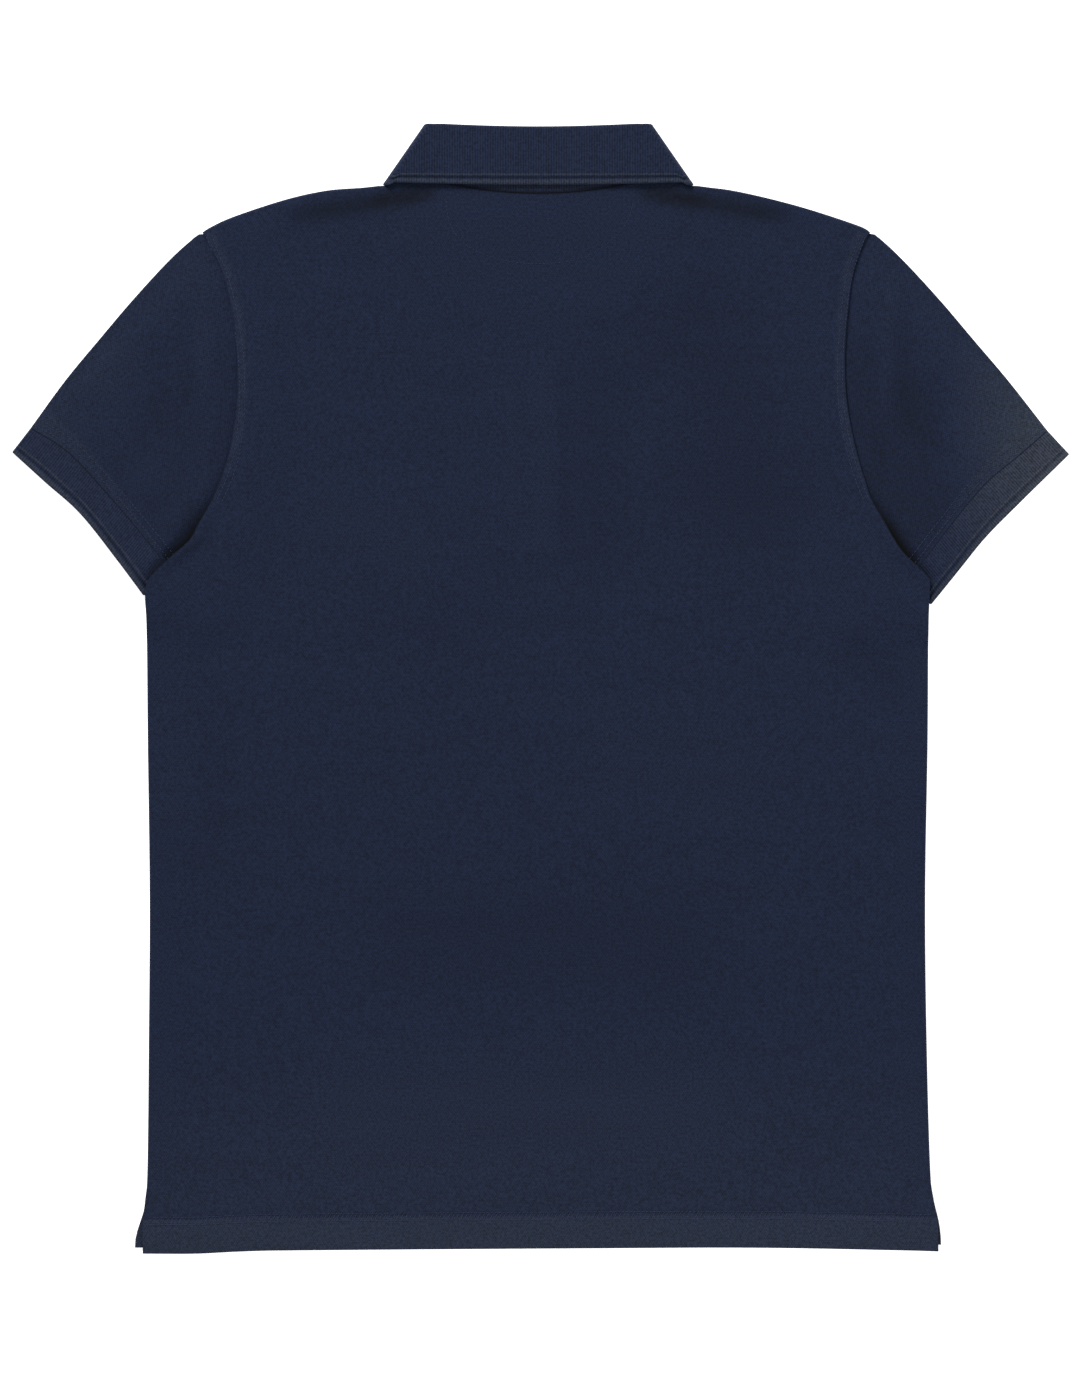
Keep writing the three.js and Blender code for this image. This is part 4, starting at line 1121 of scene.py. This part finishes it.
# %% Ridges and the paler cloth near the cuff
RIDGE_PAINTED_LIGHT = {"crest": 3.2, "groove": 1.4}  # painted highlight on crests and painted shade in grooves, for each millimetre of height


# painted highlight on a ridge's crest and painted shade in its groove, from its height
def ridge_painted_light(height):
    return height * np.where(height > 0, RIDGE_PAINTED_LIGHT["crest"], RIDGE_PAINTED_LIGHT["groove"])


def ridge_height(distance):
    """Height of the ridges at a distance from the rib's edge."""
    total = np.zeros(np.shape(distance))
    for ridge in RIDGES:
        off = np.abs(distance - ridge["from_edge"]) / ridge["half_width"]
        total += ridge["height"] * fade(off, RIDGE_TOP, 1 - RIDGE_TOP)
    return total


CUFF_TONE = 0.1
SLEEVE_END = {"tone": 0.45, "start": 0.9, "rise": 0.03}


def sleeve_tone(s):
    """Paler over the seam allowance by the cuff."""
    return SLEEVE_END["tone"] * smooth((s - SLEEVE_END["start"]) / SLEEVE_END["rise"])


# painted highlights and shade on the cuff's ridges, over a base tone
def cuff_tone(from_edge):
    return ridge_painted_light(ridge_height(from_edge)) + CUFF_TONE


# %% Make the sleeves and the cuffs
SLEEVE_SECTIONS = np.concatenate([np.linspace(0, 0.975, 44), [0.984, 0.991, 0.996, 1]])
STIFFER = {"start": 0.78, "rise": 0.22}  # towards the cuff a sleeve takes on the rib's height
SLEEVE_SHARES = np.linspace(0, 1, 64)
RIB_ROWS = np.array([13, 10, 8.4, 7.9, 7.6, 7.2, 6.8, 6.4, 6, 5.7, 5.3, 4.9, 4.5, 4.1, 3.7, 3.3,
                     2.8, 2, 1.2, 0.6, 0])
sleeves, cuffs = {}, {}
for side in ("left", "right"):
    outer = -1 if side == "left" else 1
    inner_end = curve_through(SLEEVE_INNER_END[side])
    top_fold = curve_through(SLEEVE_TOP[side])
    seam = curve_through(CUFF_SEAM[side])
    edge = curve_through(CUFF_EDGE[side])
    sleeve_place = patch(inner_end, seam, top_fold, straight(inner_end(1.0), seam(1.0)))
    sleeve = flat_tube(
        f"{side}_sleeve_cloth", side, SLEEVE_SECTIONS, SLEEVE_SHARES, CLOTH / 2, sleeve_place,
        lambda s: smooth((s - STIFFER["start"]) / STIFFER["rise"]), lambda s: 0 * s, sleeve_tone,
        SLEEVE_CREASES[side], outer,
    )
    soften_edges(sleeve, CUT_EDGE)
    finish_piece(sleeve, f"sleeve_{side}", sleeve_pique[side])
    sleeves[side] = sleeve
    width = float(np.linalg.norm(seam(0.5) - edge(0.5)))
    cuff_place = patch(seam, edge, straight(seam(0.0), edge(0.0)), straight(seam(1.0), edge(1.0)))
    cuff_rows = np.concatenate([[0.0, 0.035, 0.12, 0.25], 1 - RIB_ROWS / width])
    cuff = flat_tube(
        f"{side}_cuff_rib", side, cuff_rows, SLEEVE_SHARES, RIB / 2, cuff_place,
        lambda s: np.ones_like(s), lambda s: ridge_height((1 - s) * width),
        lambda s: cuff_tone((1 - s) * width), (), outer, 0.0,
    )
    soften_edges(cuff, RIB_EDGE)
    finish_piece(cuff, f"cuff_{side}", navy_rib)
    cuffs[side] = cuff
print("sleeve area:", round(cloth_area(sleeves["left"]), 4), "square metres")
print("cuff area:", round(cloth_area(cuffs["left"]), 4), "square metres")

# %% [markdown]
# ## Collar
#
# The collar is one strip of rib, folded along its length. The inner half stands at the neck
# seam, and the outer half, the leaf, turns down over it. Laid flat, both run round the neck
# as two long flattened loops, one inside the other. Two raised ridges follow the leaf's edge.

# %% Collar stations


FOLD_DIP = 0.3  # the fold's corners lie lower than its straight part
FRONT_STATIONS = 34
CORNER_STATIONS = 15
BACK_STATIONS = 56
BACK_REACH = 0.965  # share of the half width that the back's stations reach
FRONT_CURVE = 1.15  # above 1, the fold leaves the neck's side slowly on its way to the front


def collar_stations():
    """Stand base, fold and leaf edge from above at each station, its side and its turn."""
    quarter = math.pi / 2

    def corner(s):
        loop = LEAF_HALF + RIB / 2
        places = {
            "base": (s * STAND_HALF_WIDTH, NECK_SIDE_Y + SEWN),
            "fold": (s * (FOLD_HALF_WIDTH - loop), FOLD_Y["side"] - FOLD_DIP),
            "edge": (s * (LEAF_HALF_WIDTH - loop), LEAF_EDGE_Y["corner"]),
        }
        return {key: np.array([neck_x(offset), y]) for key, (offset, y) in places.items()}

    def front_station(offset, s):
        x = neck_x(s * offset)
        share = float(clamp((STAND_HALF_WIDTH - offset) / (STAND_HALF_WIDTH - FRONT_END)))
        share **= FRONT_CURVE
        start = corner(s)
        fold_end = np.array([neck_x(s * FRONT_FOLD["x"]), FRONT_FOLD["y"]])
        point = np.array([neck_x(s * LEAF_POINT["x"]), LEAF_POINT["y"]])
        return {
            "s": s,
            "turn": -quarter,
            "base": np.array([x, float(front_top_y(x)) + SEWN]),
            "fold": lerp(start["fold"], fold_end, share),
            "edge": lerp(start["edge"], point, share),
        }

    def back_station(t):
        middle = math.cos(t * quarter)
        x = {key: NECK_X + t * (place[0] - NECK_X) for key, place in corner(1).items()}
        dip = FOLD_DIP * smooth((abs(t) - 0.9) / 0.07)
        fold_y = lerp(FOLD_Y["side"], FOLD_Y["middle"], middle) - dip
        edge_y = lerp(LEAF_EDGE_Y["side"], LEAF_EDGE_Y["middle"], middle)
        return {
            "s": 1 if t >= 0 else -1,
            "turn": quarter,
            "base": np.array([x["base"], float(back_top_y(x["base"])) + SEWN]),
            "fold": np.array([x["fold"], fold_y]),
            "edge": np.array([x["edge"], edge_y]),
        }

    front_offsets = np.linspace(FRONT_END, STAND_HALF_WIDTH - 3, FRONT_STATIONS)
    side_turns = np.linspace(1, -1, CORNER_STATIONS) * quarter
    stations = [front_station(offset, 1) for offset in front_offsets]
    stations += [{"s": 1, "turn": turn, **corner(1)} for turn in side_turns[::-1]]
    stations += [back_station(t) for t in np.linspace(BACK_REACH, -BACK_REACH, BACK_STATIONS)]
    stations += [{"s": -1, "turn": turn, **corner(-1)} for turn in side_turns]
    stations += [front_station(offset, -1) for offset in front_offsets[::-1]]
    return stations


# %% Make the collar
STAND_SHARES = np.array([0, 0.025, 0.06, 0.12, 0.2, 0.32, 0.45, 0.6, 0.75, 0.88, 1])
STAND_PAINTED_LIGHT = np.array([-0.9, -0.5, 0.7, 0.8, 0.4, 0, 0, 0, 0, 0, 0])  # painted shade, dark at the neck seam, and painted light where the stand shows under the leaf
HAIRPIN_TURNS = np.linspace(0, math.pi, 9)[1:-1]
HAIRPIN = (LEAF_HALF - STAND_HALF) / 2
LEAF_ROWS = (0, 0.08, 0.18, 0.3, 0.42, 0.54)

stations = collar_stations()
columns, column_raise = [], []
for station in stations:
    base, fold, edge_point = station["base"], station["fold"], station["edge"]
    up = (fold - base) / np.linalg.norm(fold - base)
    centre = fold - up * (HAIRPIN + RIB / 2)
    leaf = float(np.linalg.norm(edge_point - centre))
    path = [(lerp(base, centre, t), STAND_HALF, 0) for t in STAND_SHARES]
    for turn in HAIRPIN_TURNS:
        xy = centre + up * HAIRPIN * math.sin(turn)
        path.append((xy, STAND_HALF + HAIRPIN * (1 - math.cos(turn)), 0))
    facing_up = max(0.0, math.sin(station["turn"]))
    for t in (*LEAF_ROWS, *(1 - RIB_ROWS / leaf)):
        height = float(ridge_height((1 - t) * leaf)) * facing_up
        path.append((lerp(centre, edge_point, t), LEAF_HALF, height))
    columns.append([
        (
            xy[0] + station["s"] * loop * math.cos(station["turn"]),
            xy[1],
            COLLAR_Z + loop * math.sin(station["turn"]),
        )
        for xy, loop, _ in path
    ])
    column_raise.append([height for _, _, height in path])
collar_at = np.array(columns).transpose(1, 0, 2)
collar_raise = np.array(column_raise).T
fold_row = len(STAND_SHARES) + len(HAIRPIN_TURNS) // 2
around = np.linalg.norm(np.diff(collar_at[fold_row], axis=0), axis=1)
around = np.concatenate([[0], np.cumsum(around)])
down = np.linalg.norm(np.diff(collar_at[:, len(around) // 2], axis=0), axis=1)
down = np.concatenate([[0], np.cumsum(down)])
# On the back the wales run straight down, so along the band they keep the place of the fold.
turned = np.sin([station["turn"] for station in stations])
along_band = around - (collar_at[..., 0] - collar_at[fold_row, :, 0]) * turned
collar_uv = np.dstack([along_band, np.broadcast_to(down[:, None], along_band.shape)])
# painted highlights and shade on the leaf's ridges
collar_tone = ridge_painted_light(collar_raise)
collar_tone[: len(STAND_SHARES)] += STAND_PAINTED_LIGHT[:, None]
collar = wall("collar_rib", collar_at, RIB / 2, collar_uv, collar_raise, tone=collar_tone)
soften_edges(collar, RIB_EDGE)
finish_piece(collar, "collar", navy_rib)
print("collar strip:", round(float(around[-1])), "by", round(float(down[-1])), "mm")

# %% [markdown]
# ## Placket
#
# Two strips close the slit at the front neck. The upper one shows outside, which is the
# underside here, and the lower one carries the buttons.

# %% Make the placket


def placket_strip(name, node, layer):
    """One half of the placket, as a strip that lies on its buttons."""
    xs = np.linspace(PLACKET["left"] + SEWN, PLACKET["right"] - SEWN, 12)
    ys = np.linspace(PLACKET["bottom"] + SEWN, FRONT_NECK_Y - SEWN, 60)
    x, y = np.meshgrid(xs, ys)
    at = np.dstack([x, y, CLOTH / 2 + placket_lift(y) + layer * LAYER])
    strip = wall(name, at, CLOTH / 2, at[..., :2])
    soften_edges(strip, CUT_EDGE)
    finish_piece(strip, node, body_pique)
    return strip


placket_upper = placket_strip("upper_placket_cloth", "placket_upper", 0)
placket_under = placket_strip("lower_placket_cloth", "placket_under", 1)
print("placket strip area:", round(cloth_area(placket_upper), 5))

# %% [markdown]
# ## Buttons
#
# Three sew-through buttons, 11.5 mm across, of polished polyester. A button is turned from a
# disc: a rounded rim round a shallow dish, with four holes. It faces down here. Each is
# modelled as it is turned: a cylinder, its face inset and sunk, its holes drilled by a
# boolean, and its edges rounded. The first is modelled and the other two are its copies.

# %% Button finish
button_plastic = new_material("polished navy polyester", {
    "Base Color": linear("#151B2C"),
    "Roughness": 0.22,
    "Coat Weight": 0.3,
})

# %% Make the buttons
BUTTON_X = (PLACKET["left"] + PLACKET["right"]) / 2
RIM = 1.2
RIM_SLOPE = 0.4
RIM_ROUNDING = 0.22
DISH = 0.3
HOLE_RADIUS = 0.75
HOLE_OFF = 1.35
HOLE_PLACES = [(sx * HOLE_OFF, sy * HOLE_OFF) for sx in (-1, 1) for sy in (-1, 1)]


def cylinder(name, radius, depth, place, sides):
    """A cylinder with its place in its mesh, in millimetres."""
    bpy.ops.object.select_all(action="DESELECT")
    bpy.ops.mesh.primitive_cylinder_add(
        vertices=sides, radius=radius * MM, depth=depth * MM, location=Vector(place) * MM
    )
    bpy.ops.object.transform_apply(location=True, rotation=True, scale=True)
    bpy.context.object.name = name
    return bpy.context.object


def make_button(y):
    """One button, face down on the table."""
    button = cylinder(
        "button_1_turned", BUTTON_RADIUS, BUTTON_THICKNESS, (BUTTON_X, y, BUTTON_THICKNESS / 2), 64
    )
    face = min(button.data.polygons, key=lambda polygon: polygon.center.z)
    for part in (*button.data.vertices, *button.data.edges, *button.data.polygons):
        part.select = False
    face.select = True
    bpy.ops.object.mode_set(mode="EDIT")
    bpy.ops.mesh.select_mode(type="FACE")
    bpy.ops.mesh.inset(thickness=RIM * MM)
    bpy.ops.mesh.inset(thickness=RIM_SLOPE * MM)
    bpy.ops.transform.translate(value=(0, 0, DISH * MM))
    bpy.ops.object.mode_set(mode="OBJECT")
    for i, (dx, dy) in enumerate(HOLE_PLACES):
        drill = cylinder(f"drill_{i}", HOLE_RADIUS, 6, (BUTTON_X + dx, y + dy, 0), 20)
        only(button)
        hole = button.modifiers.new("hole", "BOOLEAN")
        hole.object = drill
        hole.solver = "EXACT"
        bpy.ops.object.modifier_apply(modifier=hole.name)
        bpy.data.objects.remove(drill)
    soften_edges(button, RIM_ROUNDING, 3)
    return button


buttons = [make_button(BUTTON_YS[0])]
for number, y in enumerate(BUTTON_YS[1:], 2):
    button = buttons[0].copy()
    button.data = buttons[0].data.copy()
    button.name = f"button_{number}_turned"
    button.data.transform(Matrix.Translation((0, (y - BUTTON_YS[0]) * MM, 0)))
    bpy.context.scene.collection.objects.link(button)
    buttons.append(button)
for number, button in enumerate(buttons, 1):
    finish_piece(button, f"button_{number}", button_plastic)

# %% [markdown]
# ## Sewing
#
# The seams show as small raised stitches. The hems are sewn with a coverstitch, two needle
# rows with threads between them, the armholes and cuffs with a twin needle, which leaves two
# rows, and the inside yoke with one row.
# Each stitch is a short bar of thread that rises in the middle and dips into the cloth at its
# ends. One is modelled, a thin cylinder cut in three with its ends pinched and its middle
# lifted, and every other stitch is a copy. A ray finds the cloth's surface under each end, so
# the rows follow every crease, and all the stitches of one seam are one mesh.

# %% Thread finish
navy_thread = new_material("navy polyester thread", {
    "Base Color": linear("#29334F"),
    "Roughness": 0.7,
    "Specular IOR Level": 0.35,
})

# %% Model one stitch
THREAD_WIDTH = 0.42
STITCH_SIDES = 6
STITCH_CUTS = (-0.2, 0.2)  # where its straight middle starts and ends
STITCH_END = 0.6  # how thick its ends are
STITCH_LIFT = {"middle": 0.46, "end": -0.17}  # in thread widths


def select_rings(kind):
    """Selects the stitch's end rings or its middle rings, by their place."""
    for vertex in stitch.data.vertices:
        vertex.select = (abs(vertex.co.x) > max(STITCH_CUTS) + 0.1) == (kind == "end")


bpy.ops.object.select_all(action="DESELECT")
bpy.ops.mesh.primitive_cylinder_add(
    vertices=STITCH_SIDES, radius=0.5, depth=1, rotation=(0, math.pi / 2, 0)
)
bpy.ops.object.transform_apply(location=True, rotation=True, scale=True)
stitch = bpy.context.object
bpy.ops.object.mode_set(mode="EDIT")
for cut in STITCH_CUTS:
    bpy.ops.mesh.select_all(action="SELECT")
    bpy.ops.mesh.bisect(plane_co=(cut, 0, 0), plane_no=(1, 0, 0))
bpy.ops.mesh.select_mode(type="VERT")
for kind, size in (("end", STITCH_END), ("middle", 1)):
    bpy.ops.mesh.select_all(action="DESELECT")
    bpy.ops.object.mode_set(mode="OBJECT")
    select_rings(kind)
    bpy.ops.object.mode_set(mode="EDIT")
    bpy.ops.transform.resize(value=(1, size, size))
    bpy.ops.transform.translate(value=(0, 0, STITCH_LIFT[kind]))
bpy.ops.object.mode_set(mode="OBJECT")
STITCH_POINTS = np.array([vertex.co for vertex in stitch.data.vertices])
STITCH_FACES = [list(polygon.vertices) for polygon in stitch.data.polygons]
bpy.data.objects.remove(stitch)
print("a stitch has", len(STITCH_POINTS), "points and", len(STITCH_FACES), "faces")

# %% Stitch functions
RAY_START = 50
HEM_GAUGE = 4.8  # between the hem's two needle rows
HEM_THREADS = {"pitch": 2.9, "lean": math.radians(62), "short": 0.6}


def surface_of(*pieces):
    """A function for the height of the pieces' surface at a place, from above or from below."""
    depsgraph = bpy.context.evaluated_depsgraph_get()
    trees = [BVHTree.FromObject(piece, depsgraph) for piece in pieces]

    def height(x, y, up):
        start = Vector((x, y, up * RAY_START)) * MM
        hits = [tree.ray_cast(start, Vector((0, 0, -up)))[0] for tree in trees]
        levels = [hit.z / MM for hit in hits if hit]
        return (max(levels) if up > 0 else min(levels)) if levels else None

    return height


def along_path(points, pitch, offset=0.0):
    """Places at an even pitch along a line, moved to its left by an offset, and its directions."""
    points = np.array(points, float)
    steps = np.linalg.norm(np.diff(points, axis=0), axis=1)
    total = np.concatenate([[0], np.cumsum(steps)])
    s = np.arange(pitch / 2, total[-1] - pitch / 2, pitch)
    before, place, after = (
        np.stack([np.interp(s + d, total, points[:, k]) for k in (0, 1)], 1) for d in (-1, 0, 1)
    )
    direction = after - before
    direction /= np.linalg.norm(direction, axis=1)[:, None]
    left = np.stack([-direction[:, 1], direction[:, 0]], 1)
    return place + left * offset, direction


def row(points, height, up=1, offset=0.0, pitch=2.7, length=2.0, lean=0.0):
    """Ends of the stitches of one row. lean turns each from the row's direction."""
    ends = []
    turn = np.array([[math.cos(lean), math.sin(lean)], [-math.sin(lean), math.cos(lean)]])
    places, directions = along_path(points, pitch, offset)
    for place, direction in zip(places, directions @ turn):
        pair = [place - direction * length / 2, place + direction * length / 2]
        levels = [height(float(end[0]), float(end[1]), up) for end in pair]
        if None not in levels:
            ends.append([(*end, level) for end, level in zip(pair, levels)])
    return ends


def twin_needle(points, height, up=1, offset=0.0, gauge=4.0):
    """Two rows side by side, as a twin needle leaves them."""
    rows = [row(points, height, up, offset + gauge / 2 * side) for side in (-1, 1)]
    return rows[0] + rows[1]


def coverstitch(points, height, up=1):
    """Two needle rows, with leaning threads between them."""
    lean = HEM_THREADS["lean"]
    length = HEM_GAUGE / math.sin(lean) - HEM_THREADS["short"]
    between = row(points, height, up, 0.0, HEM_THREADS["pitch"], length, lean)
    return twin_needle(points, height, up, 0.0, HEM_GAUGE) + between


def sew(name, ends, up=1, width=THREAD_WIDTH):
    """All the stitches of a seam as one piece, each a copy of the modelled stitch."""
    ends = np.array(ends)
    along = ends[:, 1] - ends[:, 0]
    unit = along / np.linalg.norm(along, axis=1)[:, None]
    across = np.cross(unit, (0, 0, 1))
    across /= np.linalg.norm(across, axis=1)[:, None]
    over = np.cross(across, unit)
    x, y, z = STITCH_POINTS.T[:, None, :, None]
    start, along, across, over = (v[:, None] for v in (ends[:, 0], along, across, over))
    points = start + along * (x + 0.5) + (across * y + over * z * up) * width
    step = len(STITCH_POINTS)
    faces = [[i + k * step for i in face] for k in range(len(ends)) for face in STITCH_FACES]
    mesh = bpy.data.meshes.new(name)
    mesh.from_pydata((points.reshape(-1, 3) * MM).tolist(), [], faces)
    seam = bpy.data.objects.new(name, mesh)
    bpy.context.scene.collection.objects.link(seam)
    only(seam)
    bpy.ops.object.mode_set(mode="EDIT")
    bpy.ops.mesh.select_all(action="SELECT")
    bpy.ops.mesh.normals_make_consistent(inside=False)
    bpy.ops.object.mode_set(mode="OBJECT")
    bpy.ops.object.shade_smooth()
    finish_piece(seam, None, navy_thread)


# %% Sew the back
SEAM_INSET = 3.4
YOKE = ((-63.5, 331), (-61.5, 317), (-55.5, 306), (-43.9, 297.2), (-24, 290.2), (1, 288.2),
        (27.5, 291.6), (47.9, 303.5), (59, 316), (64, 331))
ARMHOLE_GAUGE = 3.6
ARMHOLE_SEWN = (306, 128)
HEM_SEWN = (-266, 267)
on_back, on_front = surface_of(back), surface_of(front)
armhole_ys = np.linspace(*ARMHOLE_SEWN, 120)
ends = []
for side, inward in (("left", 1), ("right", -1)):
    line = np.stack([side_x(armhole_ys, side), armhole_ys], 1)
    ends += twin_needle(line, on_back, offset=inward * SEAM_INSET, gauge=ARMHOLE_GAUGE)
sew("armhole_stitches", ends)
yoke_line = curve_through(YOKE)(np.linspace(0, 1, 200))
sew("yoke_stitches", row(yoke_line, on_back, pitch=2.6, length=1.7), width=0.35)
hem_xs = np.linspace(*HEM_SEWN, 200)
HEM_STITCH = 22.3
back_hem = np.stack([hem_xs, table_at(HEM_LINE, "x", "back", hem_xs) + HEM_STITCH], 1)
front_hem = np.stack([hem_xs, table_at(HEM_LINE, "x", "front", hem_xs) + HEM_STITCH], 1)
sew("back_hem_stitches", coverstitch(back_hem, on_back))
sew("front_hem_stitches", coverstitch(front_hem, on_front, up=-1), up=-1)

# %% Sew the cuffs
CUFF_STITCH = 5.8
CUFF_GAUGE = 4.6
for side in ("left", "right"):
    on_sleeve = surface_of(sleeves[side])
    line = curve_through(CUFF_SEAM[side])(np.linspace(0.01, 0.99, 200))
    offset = CUFF_STITCH if side == "left" else -CUFF_STITCH
    for up, face_name in ((1, "upper"), (-1, "lower")):
        ends = twin_needle(line, on_sleeve, up, offset, gauge=CUFF_GAUGE)
        sew(f"{side}_cuff_{face_name}_stitches", ends, up=up)

# %% Sew the placket
EDGE_ROW = 2.0
BOX_ROW = 14  # the second row above the placket's bottom
TOP_ROW = 4
BUTTON_THREAD = {"start": 1.4, "end": 1.95, "inward": 0.7}  # from a hole to the cloth
BUTTONHOLE = {"half_length": 7.4, "half_width": 0.55, "pitch": 0.55, "stitch": 1.3}
on_placket = surface_of(placket_upper)
left_x, right_x = PLACKET["left"] + EDGE_ROW, PLACKET["right"] - EDGE_ROW
low_y, box_y = PLACKET["bottom"] + EDGE_ROW, PLACKET["bottom"] + BOX_ROW
top_y = FRONT_NECK_Y - TOP_ROW
lines = [
    ((left_x, top_y), (left_x, low_y)),
    ((right_x, top_y), (right_x, low_y)),
    ((left_x, low_y), (right_x, low_y)),
    ((left_x, box_y), (right_x, box_y)),
]
ends = [stitch for line in lines for stitch in row(line, on_placket, up=-1)]
for y in BUTTON_YS:
    for s in (-1, 1):
        x = BUTTON_X + s * BUTTONHOLE["half_width"]
        line = ((x, y - BUTTONHOLE["half_length"]), (x, y + BUTTONHOLE["half_length"]))
        ends += row(
            line, on_placket, -1, 0, BUTTONHOLE["pitch"], BUTTONHOLE["stitch"], math.pi / 2
        )
sew("placket_stitches", ends, up=-1)
ends = []
for y in BUTTON_YS:
    for dx, dy in HOLE_PLACES[:2]:
        ends.append([(BUTTON_X + dx, y + dy, DISH + 0.1), (BUTTON_X - dx, y - dy, DISH + 0.1)])
    for dx, dy in HOLE_PLACES:
        start = (BUTTON_X + dx, y + dy, BUTTON_THREAD["start"])
        dx, dy = dx * BUTTON_THREAD["inward"], dy * BUTTON_THREAD["inward"]
        ends.append([start, (BUTTON_X + dx, y + dy, BUTTON_THREAD["end"])])
sew("button_threads", ends, up=-1, width=0.5)

# %% [markdown]
# ## What was cut
#
# Each cloth piece is listed with the flat cloth it was cut from, in metres. A sleeve, a
# cuff and the collar are counted all round, because they are tubes or folded strips.

CUTS = {
    front: {"flat": (0.545, 0.73), "area": 0.348, "on": floor},
    back: {"flat": (0.541, 0.734), "area": 0.362, "on": front},
    sleeves["left"]: {"flat": (0.40, 0.16), "area": 0.0395, "on": floor},
    sleeves["right"]: {"flat": (0.40, 0.16), "area": 0.0395, "on": floor},
    cuffs["left"]: {"flat": (0.27, 0.025), "area": 0.0067, "on": floor},
    cuffs["right"]: {"flat": (0.27, 0.025), "area": 0.0067, "on": floor},
    collar: {"flat": (0.43, 0.086), "area": 0.0360, "on": back},
    placket_upper: {"flat": (0.03, 0.19), "area": 0.00565, "on": buttons},
    placket_under: {"flat": (0.03, 0.19), "area": 0.00565, "on": placket_upper},
}
for piece, cut in CUTS.items():
    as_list(cut["on"])
    print(piece.name, "flat", cut["area"], "m2, as made", round(cloth_area(piece), 5), "m2")
